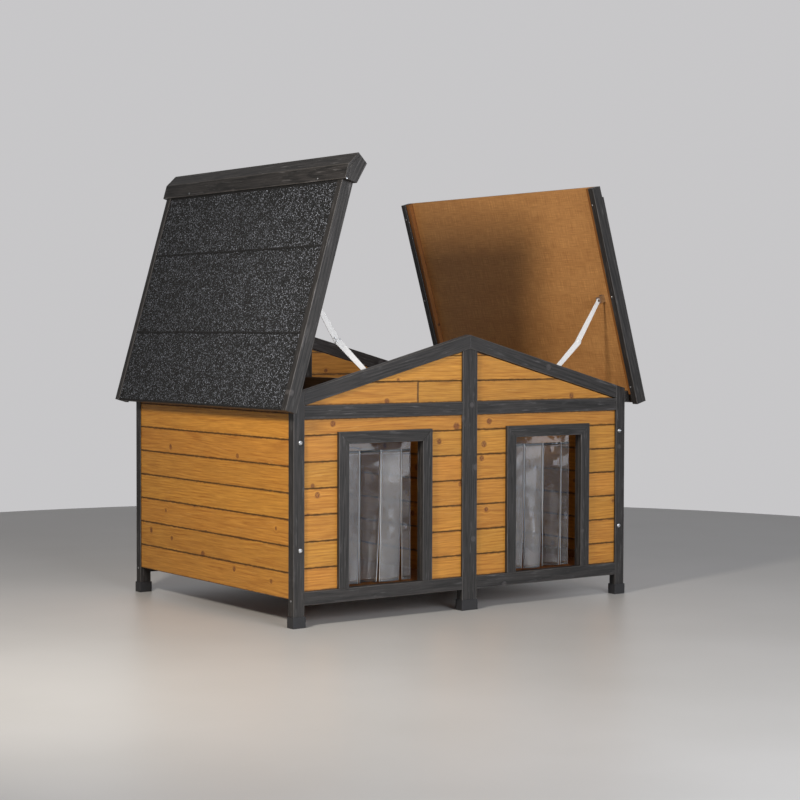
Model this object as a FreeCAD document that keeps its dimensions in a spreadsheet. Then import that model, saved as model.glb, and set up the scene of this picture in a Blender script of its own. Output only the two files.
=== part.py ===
# Two-room wooden dog house with a pair of lift-up roof panels.
# Axes: X to the right along the front, Y into the house, Z up; origin on the
# ground in the middle of the footprint.  Both roof panels stand open.
import FreeCAD, Part
import math
import os
import re

doc = FreeCAD.newDocument("dog_house")
sheet = doc.addObject("Spreadsheet::Sheet", "Sizes")

# Every size that is set by itself, in millimetres or degrees.
SIZES = dict(
    # overall shell
    width=1320, depth=976, slope=15,
    # timber of the front and back frames
    frame_thick=28, post_wide=39, centre_wide=58, rail_high=40, rafter_high=42,
    low_rail_z=66.5, mid_rail_z=618.5, rafter_seat=0.6, tenon_long=12, tenon_thick=10,
    tenon_high=26,
    # tongued and grooved planking
    plank_thick=12, plank_wide=79, plank_joint=0.3, tongue_high=5, tongue_thick=4,
    vee=1.5, housing=8, front_plank_z=96, side_plank_z=84, side_recess=3,
    # side walls, floor and the wall between the rooms
    stud_thick=28, stud_wide=30, eave_rail_thick=20, eave_rail_high=38, eave_rail_z=644,
    floor_z=104, floor_thick=12, floor_board_wide=112, floor_joint=2,
    bearer_wide=28, bearer_high=18, divider_z=717,
    # doorways and their hanging flaps
    door_wide=276, door_head_z=541, trim_wide=37, trim_thick=12,
    jamb_thick=12, jamb_deep=18, flap_lap=20, flap_short=26, flap_slit=1.5,
    flap_share=0.4177, flap_thick=2, slit_top_z=516, header_top_z=572, flap_drop=404,
    # plastic foot caps
    cap_high=34, cap_wall=3,
    # roof panels, measured from the hinge side upward and from the underside outward
    hinge_out=25, hinge_along=37.4, hinge_off=18.3, lean=73.7,
    side_board_thick=24, side_board_deep=40, overhang=43,
    ridge_gap=3, deck_off=25, deck_thick=9, eave_board_wide=32, eave_board_thick=18,
    batten_wide=15, batten_deep=20, felt_thick=2, felt_lap=22, lap_one=232, lap_two=500,
    panel_play=0.5,
    # ridge cap, carried by the left panel
    cap_board_thick=10, cap_reach=46, cap_cover=50, cap_play=2, cap_block_thick=20,
    cap_block_deep=34,
    # hinges
    hinge_apart=640, hinge_long=60, knuckle=5, leaf_thick=2, leaf_high=26, pin=2.5,
    pin_play=0.05, leaf_end=0.3,
    # folding stays
    arm_wide=14, knee_wide=21, arm_thick=2, stay_in=342, stay_up=45.2, stay_along=362, stay_off=-6,
    arms_spare=1.0081, low_share=0.5287, rivet=3, rivet_head=5, head_thick=1.3,
    bracket_wide=24, bracket_thick=2, arm_step=0.3, flange_wide=20,
    # least gap between a moving piece and what it rests on
    rest_gap=0.3,
)
for row, (alias, value) in enumerate(SIZES.items(), start=1):
    sheet.set("A%d" % row, alias)
    sheet.set("B%d" % row, str(value))
    sheet.setAlias("B%d" % row, alias)
doc.recompute()
WORD = re.compile(r"\b(" + "|".join(sorted(SIZES, key=len, reverse=True)) + r")\b")

# Lengths that follow from the sizes.
HALF = "(width/2)"
TAN, COS, SIN = "tan(slope*1deg)", "cos(slope*1deg)", "sin(slope*1deg)"
UPC, UPS = "cos(lean*1deg)", "sin(lean*1deg)"
RAFTER_V = "(rafter_high/%s)" % COS
INNER = "(%s-post_wide)" % HALF
CENTRE = "(centre_wide/2)"
LOW_TOP = "(low_rail_z+rail_high)"
MID_TOP = "(mid_rail_z+rail_high)"
APEX = "(%s+rafter_seat+%s+%s*%s)" % (MID_TOP, RAFTER_V, INNER, TAN)
DOOR_X = "((%s+%s)/2)" % (CENTRE, INNER)
FLAP_WIDE = "((door_wide+flap_lap-flap_short)/(3+flap_share))"
HINGE_X = "(%s+hinge_out)" % HALF
HINGE_Z = "(%s-%s*%s-(deck_off-hinge_off-rest_gap)/%s)" % (APEX, HINGE_X, TAN, COS)
DECK_TOP = "(deck_off+deck_thick)"
PANEL_FRONT = "(-depth/2-overhang)"
PANEL_BACK = "(depth/2+overhang)"
BOARD_END = "(hinge_along+(%s-hinge_off*%s)/%s-ridge_gap)" % (HINGE_X, SIN, COS)
CAP_TOP = "(%s+cap_board_thick)" % DECK_TOP
RIDGE_S = "(hinge_along+(%s+(%s-hinge_off)*%s)/%s)" % (HINGE_X, CAP_TOP, SIN, COS)
PLANK_IN = "((frame_thick-plank_thick)/2)"


def real(text):
    """Write an expression on the names of the sheet."""
    return WORD.sub(r"Sizes.\1", text)


def bind(thing, prop, text):
    thing.setExpression(prop, real(text))
    return thing


def place(thing, x="0", y="0", z="0"):
    bind(thing, "Placement.Base.x", x)
    bind(thing, "Placement.Base.y", y)
    return bind(thing, "Placement.Base.z", z)


def slab(name, x, y, z):
    """Straight piece between two planes along each axis."""
    box = doc.addObject("Part::Box", name)
    for prop, (low, high) in zip(("Length", "Width", "Height"), (x, y, z)):
        bind(box, prop, "(%s)-(%s)" % (high, low))
    return place(box, x[0], y[0], z[0])


def rod(name, radius, x, y, z, along="y"):
    """Round piece; the axis it runs along has a pair of planes."""
    turn = {"y": FreeCAD.Rotation(FreeCAD.Vector(1, 0, 0), -90),
            "x": FreeCAD.Rotation(FreeCAD.Vector(0, 1, 0), 90),
            "z": FreeCAD.Rotation()}[along]
    rod_ = doc.addObject("Part::Cylinder", name)
    rod_.Placement = FreeCAD.Placement(FreeCAD.Vector(), turn)
    low, high = {"x": x, "y": y, "z": z}[along]
    bind(rod_, "Radius", radius)
    bind(rod_, "Height", "(%s)-(%s)" % (high, low))
    ends = [low if axis == along else value for axis, value in zip("xyz", (x, y, z))]
    return place(rod_, *ends)


def sketch_on(body, role, points, name):
    plane = [f for f in body.Origin.OriginFeatures if f.Role == role][0]
    sketch = body.newObject("Sketcher::SketchObject", name)
    sketch.AttachmentSupport = [(plane, "")]
    sketch.MapMode = "FlatFace"
    import Sketcher
    count = len(points)
    spots = [FreeCAD.Vector(*[number(v) for v in point]) for point in points]
    for i in range(count):
        sketch.addGeometry(Part.LineSegment(spots[i], spots[(i + 1) % count]), False)
    for i in range(count):
        sketch.addConstraint(Sketcher.Constraint("Coincident", i, 2, (i + 1) % count, 1))
    for i, point in enumerate(points):
        for kind, text, value in zip(("DistanceX", "DistanceY"), point, spots[i]):
            at = sketch.addConstraint(Sketcher.Constraint(kind, -1, 1, i, 1, value))
            sketch.setExpression("Constraints[%d]" % at, real(text))
    return sketch


def number(text):
    """First value of an expression, read from the sheet."""
    got = doc.Sizes.evalExpression(WORD.sub(r"\1", text))
    return float(getattr(got, "Value", got))


def profile(name, role, points, low, high):
    """Body with one outline, padded between two planes across it."""
    body = doc.addObject("PartDesign::Body", name)
    sketch = sketch_on(body, role, points, name + "_outline")
    pad = body.newObject("PartDesign::Pad", name + "_pad")
    pad.Profile = sketch
    bind(pad, "Length", "(%s)-(%s)" % (high, low))
    body.Tip = pad
    if role == "XZ_Plane":
        place(body, y=high)
    elif role == "YZ_Plane":
        place(body, x=low)
    else:
        place(body, z=low)
    return body


def minus(name, base, cutters):
    tool = cutters[0]
    if len(cutters) > 1:
        tool = doc.addObject("Part::MultiFuse", name + "_cuts")
        tool.Shapes = cutters
    cut = doc.addObject("Part::Cut", name)
    cut.Base, cut.Tool = base, tool
    return cut


def joined(name, pieces):
    whole = doc.addObject("Part::MultiFuse", name)
    whole.Shapes = pieces
    return whole


def within(name, base, field):
    both = doc.addObject("Part::Common", name)
    both.Base, both.Tool = base, field
    return both


def group(name, pieces):
    """Several separate solids of one kind."""
    several = doc.addObject("Part::Compound", name)
    several.Links = pieces
    return several


NODES = []


def node(name, thing):
    thing.Label = name
    NODES.append(thing)
    return thing


def span(side, near, far):
    """Stretch along X between two distances from the middle, left or right."""
    return ("-(%s)" % far, "-(%s)" % near) if side == "left" else (near, far)


def inward(end, near, far):
    """Stretch along Y between two distances from the front or the back face."""
    if end == "front":
        return "-depth/2+(%s)" % near, "-depth/2+(%s)" % far
    return "depth/2-(%s)" % far, "depth/2-(%s)" % near


def under_roof(x, drop="0"):
    """Height of the rafters' upper line at a distance from the middle."""
    return "(%s-(%s)*%s-(%s))" % (APEX, x, TAN, drop)


# ---------------------------------------------------------------- front and back frames
def tenons(tag, end, bays, z0):
    """Tongues on the ends of a rail, or with play the mortises that take them."""
    play = "0.2" if tag.startswith("mortise") else "0"
    mid = "(frame_thick/2)"
    across = inward(end, "%s-tenon_thick/2-%s" % (mid, play), "%s+tenon_thick/2+%s" % (mid, play))
    low = "(%s)+(rail_high-tenon_high)/2" % z0
    made = []
    for k, (x0, x1) in enumerate(bays):
        made.append(slab("%s_%d" % (tag, k), (x0, x1), across,
                         ("%s-%s" % (low, play), "%s+tenon_high+%s" % (low, play))))
    return made


def rails(end, which, z0):
    """Two rails, one in each bay, tenoned into the posts."""
    made = []
    for side in ("left", "right"):
        tag = "%s_%s_rail_%s" % (end, which, side)
        bar = slab(tag + "_bar", span(side, CENTRE, INNER), inward(end, "0", "frame_thick"),
                   (z0, "%s+rail_high" % z0))
        tongues = tenons("tenon_" + tag, end,
                         [span(side, CENTRE + "-tenon_long", INNER + "+tenon_long")], z0)
        made.append(joined(tag, [bar] + tongues))
    node("%s_%s_rails" % (end, which), group("%s_%s_rails" % (end, which), made))


def post_cuts(tag, end, side, at_centre):
    """Mortises and the groove that houses the plank ends, on one edge of a post."""
    if at_centre:
        deep, groove = (CENTRE + "-tenon_long-0.5", CENTRE + "+1"), (CENTRE + "-housing", CENTRE + "+1")
    else:
        deep, groove = (INNER + "-1", INNER + "+tenon_long+0.5"), (INNER + "-1", INNER + "+housing")
    made = []
    for z0 in ("low_rail_z", "mid_rail_z"):
        made += tenons("mortise_%s_%s" % (tag, z0), end, [span(side, *deep)], z0)
    made.append(slab(tag + "_groove", span(side, *groove),
                     inward(end, PLANK_IN + "-plank_joint", PLANK_IN + "+plank_thick+plank_joint"),
                     (LOW_TOP, "mid_rail_z")))
    if at_centre:
        made.append(slab(tag + "_gable_groove", span(side, *groove),
                         inward(end, PLANK_IN + "-plank_joint", PLANK_IN + "+plank_thick+plank_joint"),
                         (MID_TOP, under_roof(CENTRE, RAFTER_V))))
    return made


def corner_post(end, side):
    """Leg and corner in one, its head cut to the slope of the roof."""
    tag = "%s_post_%s" % (end, side)
    x = [HALF, INNER]
    if side == "left":
        x = ["-" + HALF, "-" + INNER]
    points = [(x[0], "cap_wall"), (x[1], "cap_wall"), (x[1], under_roof(INNER, "rest_gap")),
              (x[0], under_roof(HALF, "rest_gap"))]
    if side == "right":
        points.reverse()
    stock = profile(tag + "_stock", "XZ_Plane", points, *inward(end, "0", "frame_thick"))
    return minus(tag, stock, post_cuts(tag, end, side, False))


def mirror(side, x):
    return "-(%s)" % x if side == "left" else "(%s)" % x


def centre_post(end):
    tag = "%s_post_centre" % end
    points = [("-" + CENTRE, "cap_wall"), (CENTRE, "cap_wall"),
              (CENTRE, under_roof(CENTRE, RAFTER_V)), ("0", under_roof("0", RAFTER_V)),
              ("-" + CENTRE, under_roof(CENTRE, RAFTER_V))]
    stock = profile(tag + "_stock", "XZ_Plane", points, *inward(end, "0", "frame_thick"))
    cuts = post_cuts(tag + "_l", end, "left", True) + post_cuts(tag + "_r", end, "right", True)
    return minus(tag, stock, cuts)


def rafters(end):
    """Sloping head members with plumb cuts, meeting over the centre post."""
    made = []
    for side in ("left", "right"):
        far = mirror(side, INNER)
        points = [(far, under_roof(INNER, RAFTER_V)), ("0", under_roof("0", RAFTER_V)),
                  ("0", under_roof("0")), (far, under_roof(INNER))]
        if side == "right":
            points.reverse()
        made.append(profile("%s_rafter_%s" % (end, side), "XZ_Plane", points,
                            *inward(end, "0", "frame_thick")))
    node("%s_rafters" % end, group("%s_rafters" % end, made))


for end in ("front", "back"):
    corners = [corner_post(end, side) for side in ("left", "right")]
    if end == "front":
        node("front_post_left", corners[0])
        node("front_post_right", corners[1])
    else:
        node("back_corner_posts", group("back_corner_posts", corners))
    node("%s_post_centre" % end, centre_post(end))
    rails(end, "lower", "low_rail_z")
    rails(end, "mid", "mid_rail_z")
    rafters(end)


# ---------------------------------------------------------------- planking
def plank_stack(name, along, thick, shown, length, start_z, top_z):
    """Boards one above the other, tongue up and groove down, with a vee at each joint.

    thick is the pair of planes of the two faces, shown the one of them that has the
    vee, and length the pair across the ends.
    """
    t0, t1 = thick
    mid = "((%s+%s)/2)" % (t0, t1)
    high = "(plank_wide-plank_joint)"
    half, room = "tongue_thick/2", "(tongue_thick/2+0.3)"
    foot = [[(t0, "0")], [(t1, "0")]]
    head = [[(t0, high)], [(t1, high)]]
    inset = ("%s+vee" % t0, "%s-vee" % t1)[shown]
    foot[shown].insert(1 - shown, (inset, "0"))
    foot[shown][shown] = (thick[shown], "vee")
    head[shown].insert(shown, (inset, high))
    head[shown][1 - shown] = (thick[shown], "%s-vee" % high)
    points = foot[0] + [
        ("%s-%s" % (mid, room), "0"), ("%s-%s" % (mid, room), "tongue_high+0.5"),
        ("%s+%s" % (mid, room), "tongue_high+0.5"), ("%s+%s" % (mid, room), "0"),
    ] + foot[1] + head[1] + [
        ("%s+%s" % (mid, half), high), ("%s+%s" % (mid, half), "%s+tongue_high" % high),
        ("%s-%s" % (mid, half), "%s+tongue_high" % high), ("%s-%s" % (mid, half), high),
    ] + head[0]
    role = "YZ_Plane" if along == "x" else "XZ_Plane"
    body = profile(name, role, points, *length)
    doc.recompute()
    rows = body.newObject("PartDesign::LinearPattern", name + "_rows")
    rows.Originals = [body.Tip]
    rows.Direction = ([f for f in body.Origin.OriginFeatures if f.Role == "Z_Axis"][0], [""])
    bind(rows, "Occurrences", "ceil(((%s)-(%s))/plank_wide)" % (top_z, start_z))
    bind(rows, "Length", "plank_wide*(ceil(((%s)-(%s))/plank_wide)-1)" % (top_z, start_z))
    body.Tip = rows
    bind(body, "Placement.Base.z", start_z)
    return body


def bay_planks(end, side):
    """Planks of one bay, from the lower rail to the middle rail."""
    tag = "%s_planks_%s" % (end, side)
    across = inward(end, PLANK_IN, PLANK_IN + "+plank_thick")
    x = span(side, CENTRE + "-housing+0.3", INNER + "+housing-0.3")
    shown = 0 if end == "front" else 1
    stack = plank_stack(tag + "_rows", "x", across, shown, x, "front_plank_z", "mid_rail_z")
    field = slab(tag + "_field", x, inward(end, "0", "frame_thick"), (LOW_TOP, "mid_rail_z"))
    if end == "front":
        gap = "(door_wide/2+jamb_thick)"
        hole = slab(tag + "_door", span(side, DOOR_X + "-" + gap, DOOR_X + "+" + gap),
                    inward(end, "-1", "frame_thick+1"), (LOW_TOP, "door_head_z+jamb_thick"))
        field = minus(tag + "_walls", field, [hole])
    return within(tag, stack, field)


def gable_planks(end):
    """Planks between the middle rail and the rafters, on both sides of the centre post."""
    across = inward(end, PLANK_IN, PLANK_IN + "+plank_thick")
    halves = []
    for side in ("left", "right"):
        tag = "%s_gable_%s" % (end, side)
        near = CENTRE + "-housing+0.3"
        stack = plank_stack(tag + "_rows", "x", across, 0 if end == "front" else 1,
                            span(side, near, INNER), MID_TOP + "-12", under_roof(near, RAFTER_V))
        foot = "((%s-%s-%s)/%s)" % (APEX, RAFTER_V, MID_TOP, TAN)
        points = [(mirror(side, near), MID_TOP), (mirror(side, near), under_roof(CENTRE, RAFTER_V)),
                  (mirror(side, CENTRE), under_roof(CENTRE, RAFTER_V)),
                  (mirror(side, foot), MID_TOP)]
        if side == "left":
            points.reverse()
        field = profile(tag + "_field", "XZ_Plane", points, *inward(end, "0", "frame_thick"))
        halves.append(within(tag, stack, field))
    return halves


node("front_planks_left", bay_planks("front", "left"))
node("front_planks_right", bay_planks("front", "right"))
node("front_gable_planks", group("front_gable_planks", gable_planks("front")))
node("back_planks", group("back_planks", [bay_planks("back", "left"), bay_planks("back", "right")]))
node("back_gable_planks", group("back_gable_planks", gable_planks("back")))


# ---------------------------------------------------------------- side walls
BETWEEN = ("-depth/2+frame_thick", "depth/2-frame_thick")
SIDE_TOP = under_roof(HALF, "5")
for side in ("left", "right"):
    tag = "side_planks_" + side
    outer = HALF + "-side_recess"
    inner = "(%s-side_recess-plank_thick)" % HALF
    stack = plank_stack(tag + "_rows", "y", span(side, inner, outer), 0 if side == "left" else 1,
                        BETWEEN, "side_plank_z", SIDE_TOP)
    field = slab(tag + "_field", span(side, inner, outer), BETWEEN, ("side_plank_z", SIDE_TOP))
    node(tag, within(tag, stack, field))

    # studs behind the plank ends, and a rail along the bottom and the top between them
    tag = "side_frame_" + side
    depth_in = span(side, inner + "-stud_thick", inner)
    parts = [slab("%s_stud_%s" % (tag, end), depth_in,
                  inward(end, "frame_thick", "frame_thick+stud_wide"), ("floor_z-16", SIDE_TOP))
             for end in ("front", "back")]
    run = ("-depth/2+frame_thick+stud_wide", "depth/2-frame_thick-stud_wide")
    parts.append(slab(tag + "_foot", depth_in, run, ("floor_z-16", "floor_z-16+rail_high")))
    parts.append(slab(tag + "_head", depth_in, run, (SIDE_TOP + "-rail_high", SIDE_TOP)))
    node(tag, group(tag, parts))

    # rail under the eaves, on the outside of the posts, that carries the roof hinges
    tag = "eave_rail_" + side
    node(tag, slab(tag, span(side, HALF, HALF + "+eave_rail_thick"), ("-depth/2", "depth/2"),
                   ("eave_rail_z", "eave_rail_z+eave_rail_high")))


# ---------------------------------------------------------------- floor
def floor():
    boards, bearers = [], []
    wall = "(%s-side_recess-plank_thick-stud_thick)" % HALF
    for side in ("left", "right"):
        x = span(side, "stud_thick/2+1", wall + "-rest_gap")
        count = int(number("(depth-2*frame_thick)/(floor_board_wide+floor_joint)"))
        for k in range(count):
            first = "(-(floor_board_wide+floor_joint)*%d/2+floor_joint/2)" % count
            low = "%s+%d*(floor_board_wide+floor_joint)" % (first, k)
            boards.append(slab("floor_%s_%d" % (side, k), x, (low, low + "+floor_board_wide"),
                               ("floor_z-floor_thick", "floor_z")))
        for k, near in enumerate(("stud_thick/2+12", DOOR_X + "-bearer_wide/2",
                                  wall + "-bearer_wide-rest_gap")):
            bearers.append(slab("bearer_%s_%d" % (side, k), span(side, near, near + "+bearer_wide"),
                                BETWEEN, ("floor_z-floor_thick-bearer_high", "floor_z-floor_thick")))
    node("floor_boards", group("floor_boards", boards))
    node("floor_bearers", group("floor_bearers", bearers))


floor()


# ---------------------------------------------------------------- wall between the rooms
def divider():
    face = ("-plank_thick/2", "plank_thick/2")
    start = "floor_z-floor_thick-bearer_high"
    stack = plank_stack("divider_rows", "y", face, 0, BETWEEN, "side_plank_z",
                        "divider_z-rail_high")
    field = slab("divider_field", face, BETWEEN, ("side_plank_z", "divider_z-rail_high"))
    node("divider_planks", within("divider_planks", stack, field))
    wide = ("-stud_thick/2", "stud_thick/2")
    rail = slab("divider_head", wide, BETWEEN, ("divider_z-rail_high", "divider_z"))
    foot = slab("divider_foot", wide, BETWEEN, (start, "side_plank_z"))
    node("divider_rails", group("divider_rails", [rail, foot]))


divider()


# ---------------------------------------------------------------- doorways
def door(side):
    """Mitred trim on the face of the planks and plain jambs lining the hole."""
    tag = "door_frame_" + side
    half = "(door_wide/2)"
    centre = mirror(side, DOOR_X)
    wide = "(%s+trim_wide)" % half
    face = inward("front", PLANK_IN + "-trim_thick", PLANK_IN)
    sides = []
    for k, sign in (("a", "-"), ("b", "+")):
        near, far = centre + sign + half, centre + sign + wide
        points = [(near, LOW_TOP), (far, LOW_TOP), (far, "door_head_z+trim_wide"),
                  (near, "door_head_z")]
        if sign == "-":
            points.reverse()
        sides.append(profile("%s_stile_%s" % (tag, k), "XZ_Plane", points, *face))
    points = [(centre + "-" + half, "door_head_z"), (centre + "+" + half, "door_head_z"),
              (centre + "+" + wide, "door_head_z+trim_wide"),
              (centre + "-" + wide, "door_head_z+trim_wide")]
    sides.append(profile(tag + "_head", "XZ_Plane", points, *face))
    deep = inward("front", PLANK_IN, PLANK_IN + "+jamb_deep")
    for k, sign in (("a", "-"), ("b", "+")):
        edge = [centre + sign + half, centre + sign + half + sign + "jamb_thick"]
        if sign == "-":
            edge.reverse()
        sides.append(slab("%s_jamb_%s" % (tag, k), tuple(edge), deep, (LOW_TOP, "door_head_z")))
    lining = (centre + "-" + half + "-jamb_thick", centre + "+" + half + "+jamb_thick")
    sides.append(slab(tag + "_lintel", lining, inward("front", PLANK_IN, "frame_thick"),
                      ("door_head_z", "door_head_z+jamb_thick")))
    node(tag, group(tag, sides))


door("left")
door("right")


# ---------------------------------------------------------------- clear hanging flaps
def curtain(side):
    """Band over the doorway, and four flaps that hang from it between the slits."""
    centre = mirror(side, DOOR_X)
    edge = "(%s-door_wide/2-flap_lap)" % centre
    end_ = "+(3+flap_share)*" + FLAP_WIDE
    plane = inward("front", "frame_thick", "frame_thick+flap_thick")
    mid_y = inward("front", "frame_thick+flap_thick/2", "0")[0]
    band_low = "slit_top_z+flap_thick/2+rest_gap"
    header = slab("band_" + side, (edge, edge + end_), plane, (band_low, "header_top_z"))
    for k in range(4):
        tag = "flap_%s_%d" % (side, k + 1)
        low = edge + "+%d*%s+flap_slit/2" % (k, FLAP_WIDE)
        high = edge + ("+%d*%s-flap_slit/2" % (k + 1, FLAP_WIDE) if k < 3 else end_)
        sheet_ = slab(tag + "_sheet", (low, high), plane, ("slit_top_z-flap_drop", "slit_top_z"))
        bead = rod(tag + "_bead", "flap_thick/2", (low, high), mid_y, "slit_top_z", along="x")
        node(tag, joined(tag, [sheet_, bead]))
    return header


node("curtain_headers", group("curtain_headers", [curtain("left"), curtain("right")]))


# ---------------------------------------------------------------- foot caps
def foot_cap(tag, x, y):
    outer = slab(tag + "_outer", ("%s-cap_wall" % x[0], "%s+cap_wall" % x[1]),
                 ("%s-cap_wall" % y[0], "%s+cap_wall" % y[1]), ("0", "cap_high"))
    hollow = slab(tag + "_hollow", x, y, ("cap_wall", "cap_high+1"))
    return minus(tag, outer, [hollow])


def feet():
    caps = []
    for end in ("front", "back"):
        y = inward(end, "0", "frame_thick")
        for side in ("left", "right"):
            caps.append(foot_cap("cap_%s_%s" % (end, side), span(side, INNER, HALF), y))
        caps.append(foot_cap("cap_%s_centre" % end, ("-" + CENTRE, CENTRE), y))
    node("foot_caps", group("foot_caps", caps))


feet()


# ---------------------------------------------------------------- roof panels
def stand(side, thing):
    """Lean a piece made flat, with the hinge pin at its origin, on the roof hinge."""
    axis = FreeCAD.Vector(0, -1 if side == "left" else 1, 0)
    thing.Placement = FreeCAD.Placement(FreeCAD.Vector(), FreeCAD.Rotation(axis, 30))
    bind(thing, "Placement.Rotation.Angle", "lean")
    return place(thing, mirror(side, HINGE_X), "0", HINGE_Z)


def run(side, low, high):
    """Stretch up the slope, from the hinge side, as planes along X of the flat panel."""
    low, high = "(%s)-hinge_along" % low, "(%s)-hinge_along" % high
    return (low, high) if side == "left" else ("-(%s)" % high, "-(%s)" % low)


def off(low, high):
    return "(%s)-hinge_off" % low, "(%s)-hinge_off" % high


def flat_profile(side, name, points, y):
    """Outline given up the slope and outward, padded across the panel."""
    marks = [(("(%s)-hinge_along" if side == "left" else "-((%s)-hinge_along)") % s,
              "(%s)-hinge_off" % d) for s, d in points]
    if side == "right":
        marks.reverse()
    return profile(name, "XZ_Plane", marks, *y)


def panel(side):
    play = "0" if side == "left" else "panel_play"
    front, back = "%s+%s" % (PANEL_FRONT, play), "%s-%s" % (PANEL_BACK, play)
    inside = (front + "+side_board_thick", back + "-side_board_thick")
    tag = "roof_%s_" % side
    notch = "(%s-%s)" % (RIDGE_S, "cap_reach" if side == "left" else "cap_cover-cap_play")

    # side boards, let down at the ridge for the cap boards, and a flat board at the eaves
    edge = [("0", "0"), (BOARD_END, "0"), (BOARD_END, DECK_TOP), (notch, DECK_TOP),
            (notch, "side_board_deep"), ("0", "side_board_deep")]
    boards = [flat_profile(side, tag + "board_front", edge, (front, front + "+side_board_thick")),
              flat_profile(side, tag + "board_back", edge, (back + "-side_board_thick", back))]
    boards.append(slab(tag + "board_eave", run(side, "0", "eave_board_wide"), inside,
                       off(DECK_TOP + "-eave_board_thick", DECK_TOP)))
    node(tag + "frame", stand(side, group(tag + "frame", boards)))

    deck = slab(tag + "sheet", run(side, "eave_board_wide", BOARD_END), inside,
                off("deck_off", DECK_TOP))
    node(tag + "deck", stand(side, group(tag + "deck", [deck])))

    strips = [slab(tag + "batten_" + end, run(side, "eave_board_wide", BOARD_END), y,
                   off("deck_off-batten_deep", "deck_off"))
              for end, y in (("front", (inside[0], inside[0] + "+batten_wide")),
                             ("back", (inside[1] + "-batten_wide", inside[1])))]
    node(tag + "battens", stand(side, group(tag + "battens", strips)))

    # three courses of felt, each lapping over the one below
    top, once = DECK_TOP, "felt_thick"
    courses = []
    for k, (low, high) in enumerate((("0", "lap_one"), ("lap_one", "lap_two"), ("lap_two", notch))):
        if k == 0:
            points = [(low, top), ("lap_one+felt_lap", top), ("lap_one+felt_lap", top + "+" + once),
                      (low, top + "+" + once)]
        else:
            crown = high + "+felt_lap" if k == 1 else high
            points = [(low + "+felt_lap+0.5", top), (crown, top), (crown, top + "+" + once),
                      (low + "+felt_lap+0.5+felt_thick", top + "+" + once),
                      (low + "+felt_lap+0.5+felt_thick", top + "+2*felt_thick"),
                      (low, top + "+2*felt_thick"), (low, top + "+" + once),
                      (low + "+felt_lap+0.5", top + "+" + once)]
        courses.append(flat_profile(side, "%sfelt_%d" % (tag, k), points, inside))
    node(tag + "felt", stand(side, group(tag + "felt", courses)))


panel("left")
panel("right")


def ridge_cap():
    """Two boards mitred along the ridge, on end blocks that close the peak."""
    fold_c, fold_s = "cos(2*slope*1deg)", "sin(2*slope*1deg)"
    s0, d0 = RIDGE_S, CAP_TOP
    s1 = "(%s-cap_board_thick*%s/(1+%s))" % (s0, fold_s, fold_c)
    s2, d2 = "(%s+cap_cover*%s)" % (s0, fold_c), "(%s-cap_cover*%s)" % (d0, fold_s)
    s3, d3 = "(%s-cap_board_thick*%s)" % (s2, fold_s), "(%s-cap_board_thick*%s)" % (d2, fold_c)
    s4, d4 = "(%s-cap_block_deep*%s)" % (s3, fold_s), "(%s-cap_block_deep*%s)" % (d3, fold_c)
    start = "(%s-cap_reach)" % RIDGE_S
    whole = ("%s-cap_block_thick" % PANEL_FRONT, "%s+cap_block_thick" % PANEL_BACK)
    pieces = [
        flat_profile("left", "cap_board_a", [(start, DECK_TOP), (s1, DECK_TOP), (s0, d0), (start, d0)],
                     whole),
        flat_profile("left", "cap_board_b", [(s1, DECK_TOP), (s3, d3), (s2, d2), (s0, d0)], whole),
    ]
    low = "(%s+(%s-%s)*%s)" % (d4, s4, start, TAN)
    block = [(start, low), (s4, d4), (s3, d3), (s1, DECK_TOP), (start, DECK_TOP)]
    for end, y in (("front", (whole[0], PANEL_FRONT)), ("back", (PANEL_BACK, whole[1]))):
        pieces.append(flat_profile("left", "cap_block_" + end, block, y))
    node("ridge_cap", stand("left", group("ridge_cap", pieces)))


ridge_cap()


# ---------------------------------------------------------------- roof hinges
def hinge(side, k):
    """Lift-off hinge: one knuckle on the wall leaf, with the pin, and one on the roof leaf."""
    middle = "(%s*hinge_apart/2)" % ("-1" if k == 0 else "1")
    y = [middle + "-hinge_long/2", middle, middle + "+hinge_long/2"]
    axis_x = mirror(side, HINGE_X)
    face = HALF + "+eave_rail_thick"
    tag = "hinge_%s_%d" % (side, k)
    wall = [slab(tag + "_plate", span(side, face, face + "+leaf_thick"), (y[0], y[2]),
                 ("eave_rail_z", HINGE_Z + "-knuckle-2.5")),
            slab(tag + "_tab", span(side, face, face + "+leaf_thick"), (y[0], y[1]),
                 ("eave_rail_z+5", HINGE_Z)),
            rod(tag + "_knuckle", "knuckle", axis_x, (y[0], y[1]), HINGE_Z)]
    bore = rod(tag + "_bore", "pin", axis_x, (y[0] + "-1", y[1] + "+1"), HINGE_Z)
    wall_leaf = minus(tag + "_wall", joined(tag + "_wall_solid", wall), [bore])

    inner = (y[1] + "+leaf_end", y[2])
    under = off(DECK_TOP + "-eave_board_thick-leaf_thick", DECK_TOP + "-eave_board_thick")
    roof = [slab(tag + "_roof_plate", run(side, "eave_board_wide-leaf_high-2", "eave_board_wide-2"),
                 (y[0], y[2]), under),
            slab(tag + "_roof_tab", run(side, "eave_board_wide-5", "hinge_along"), inner, under),
            rod(tag + "_roof_knuckle", "knuckle", "0", inner, "0")]
    hole = rod(tag + "_roof_bore", "pin+pin_play", "0", (y[0] + "-1", y[2] + "+1"), "0")
    roof_leaf = minus(tag + "_roof", joined(tag + "_roof_solid", roof), [hole])
    pin = rod(tag + "_pin", "pin", axis_x, (y[0], y[2]), HINGE_Z)
    return wall_leaf, roof_leaf, pin


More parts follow.
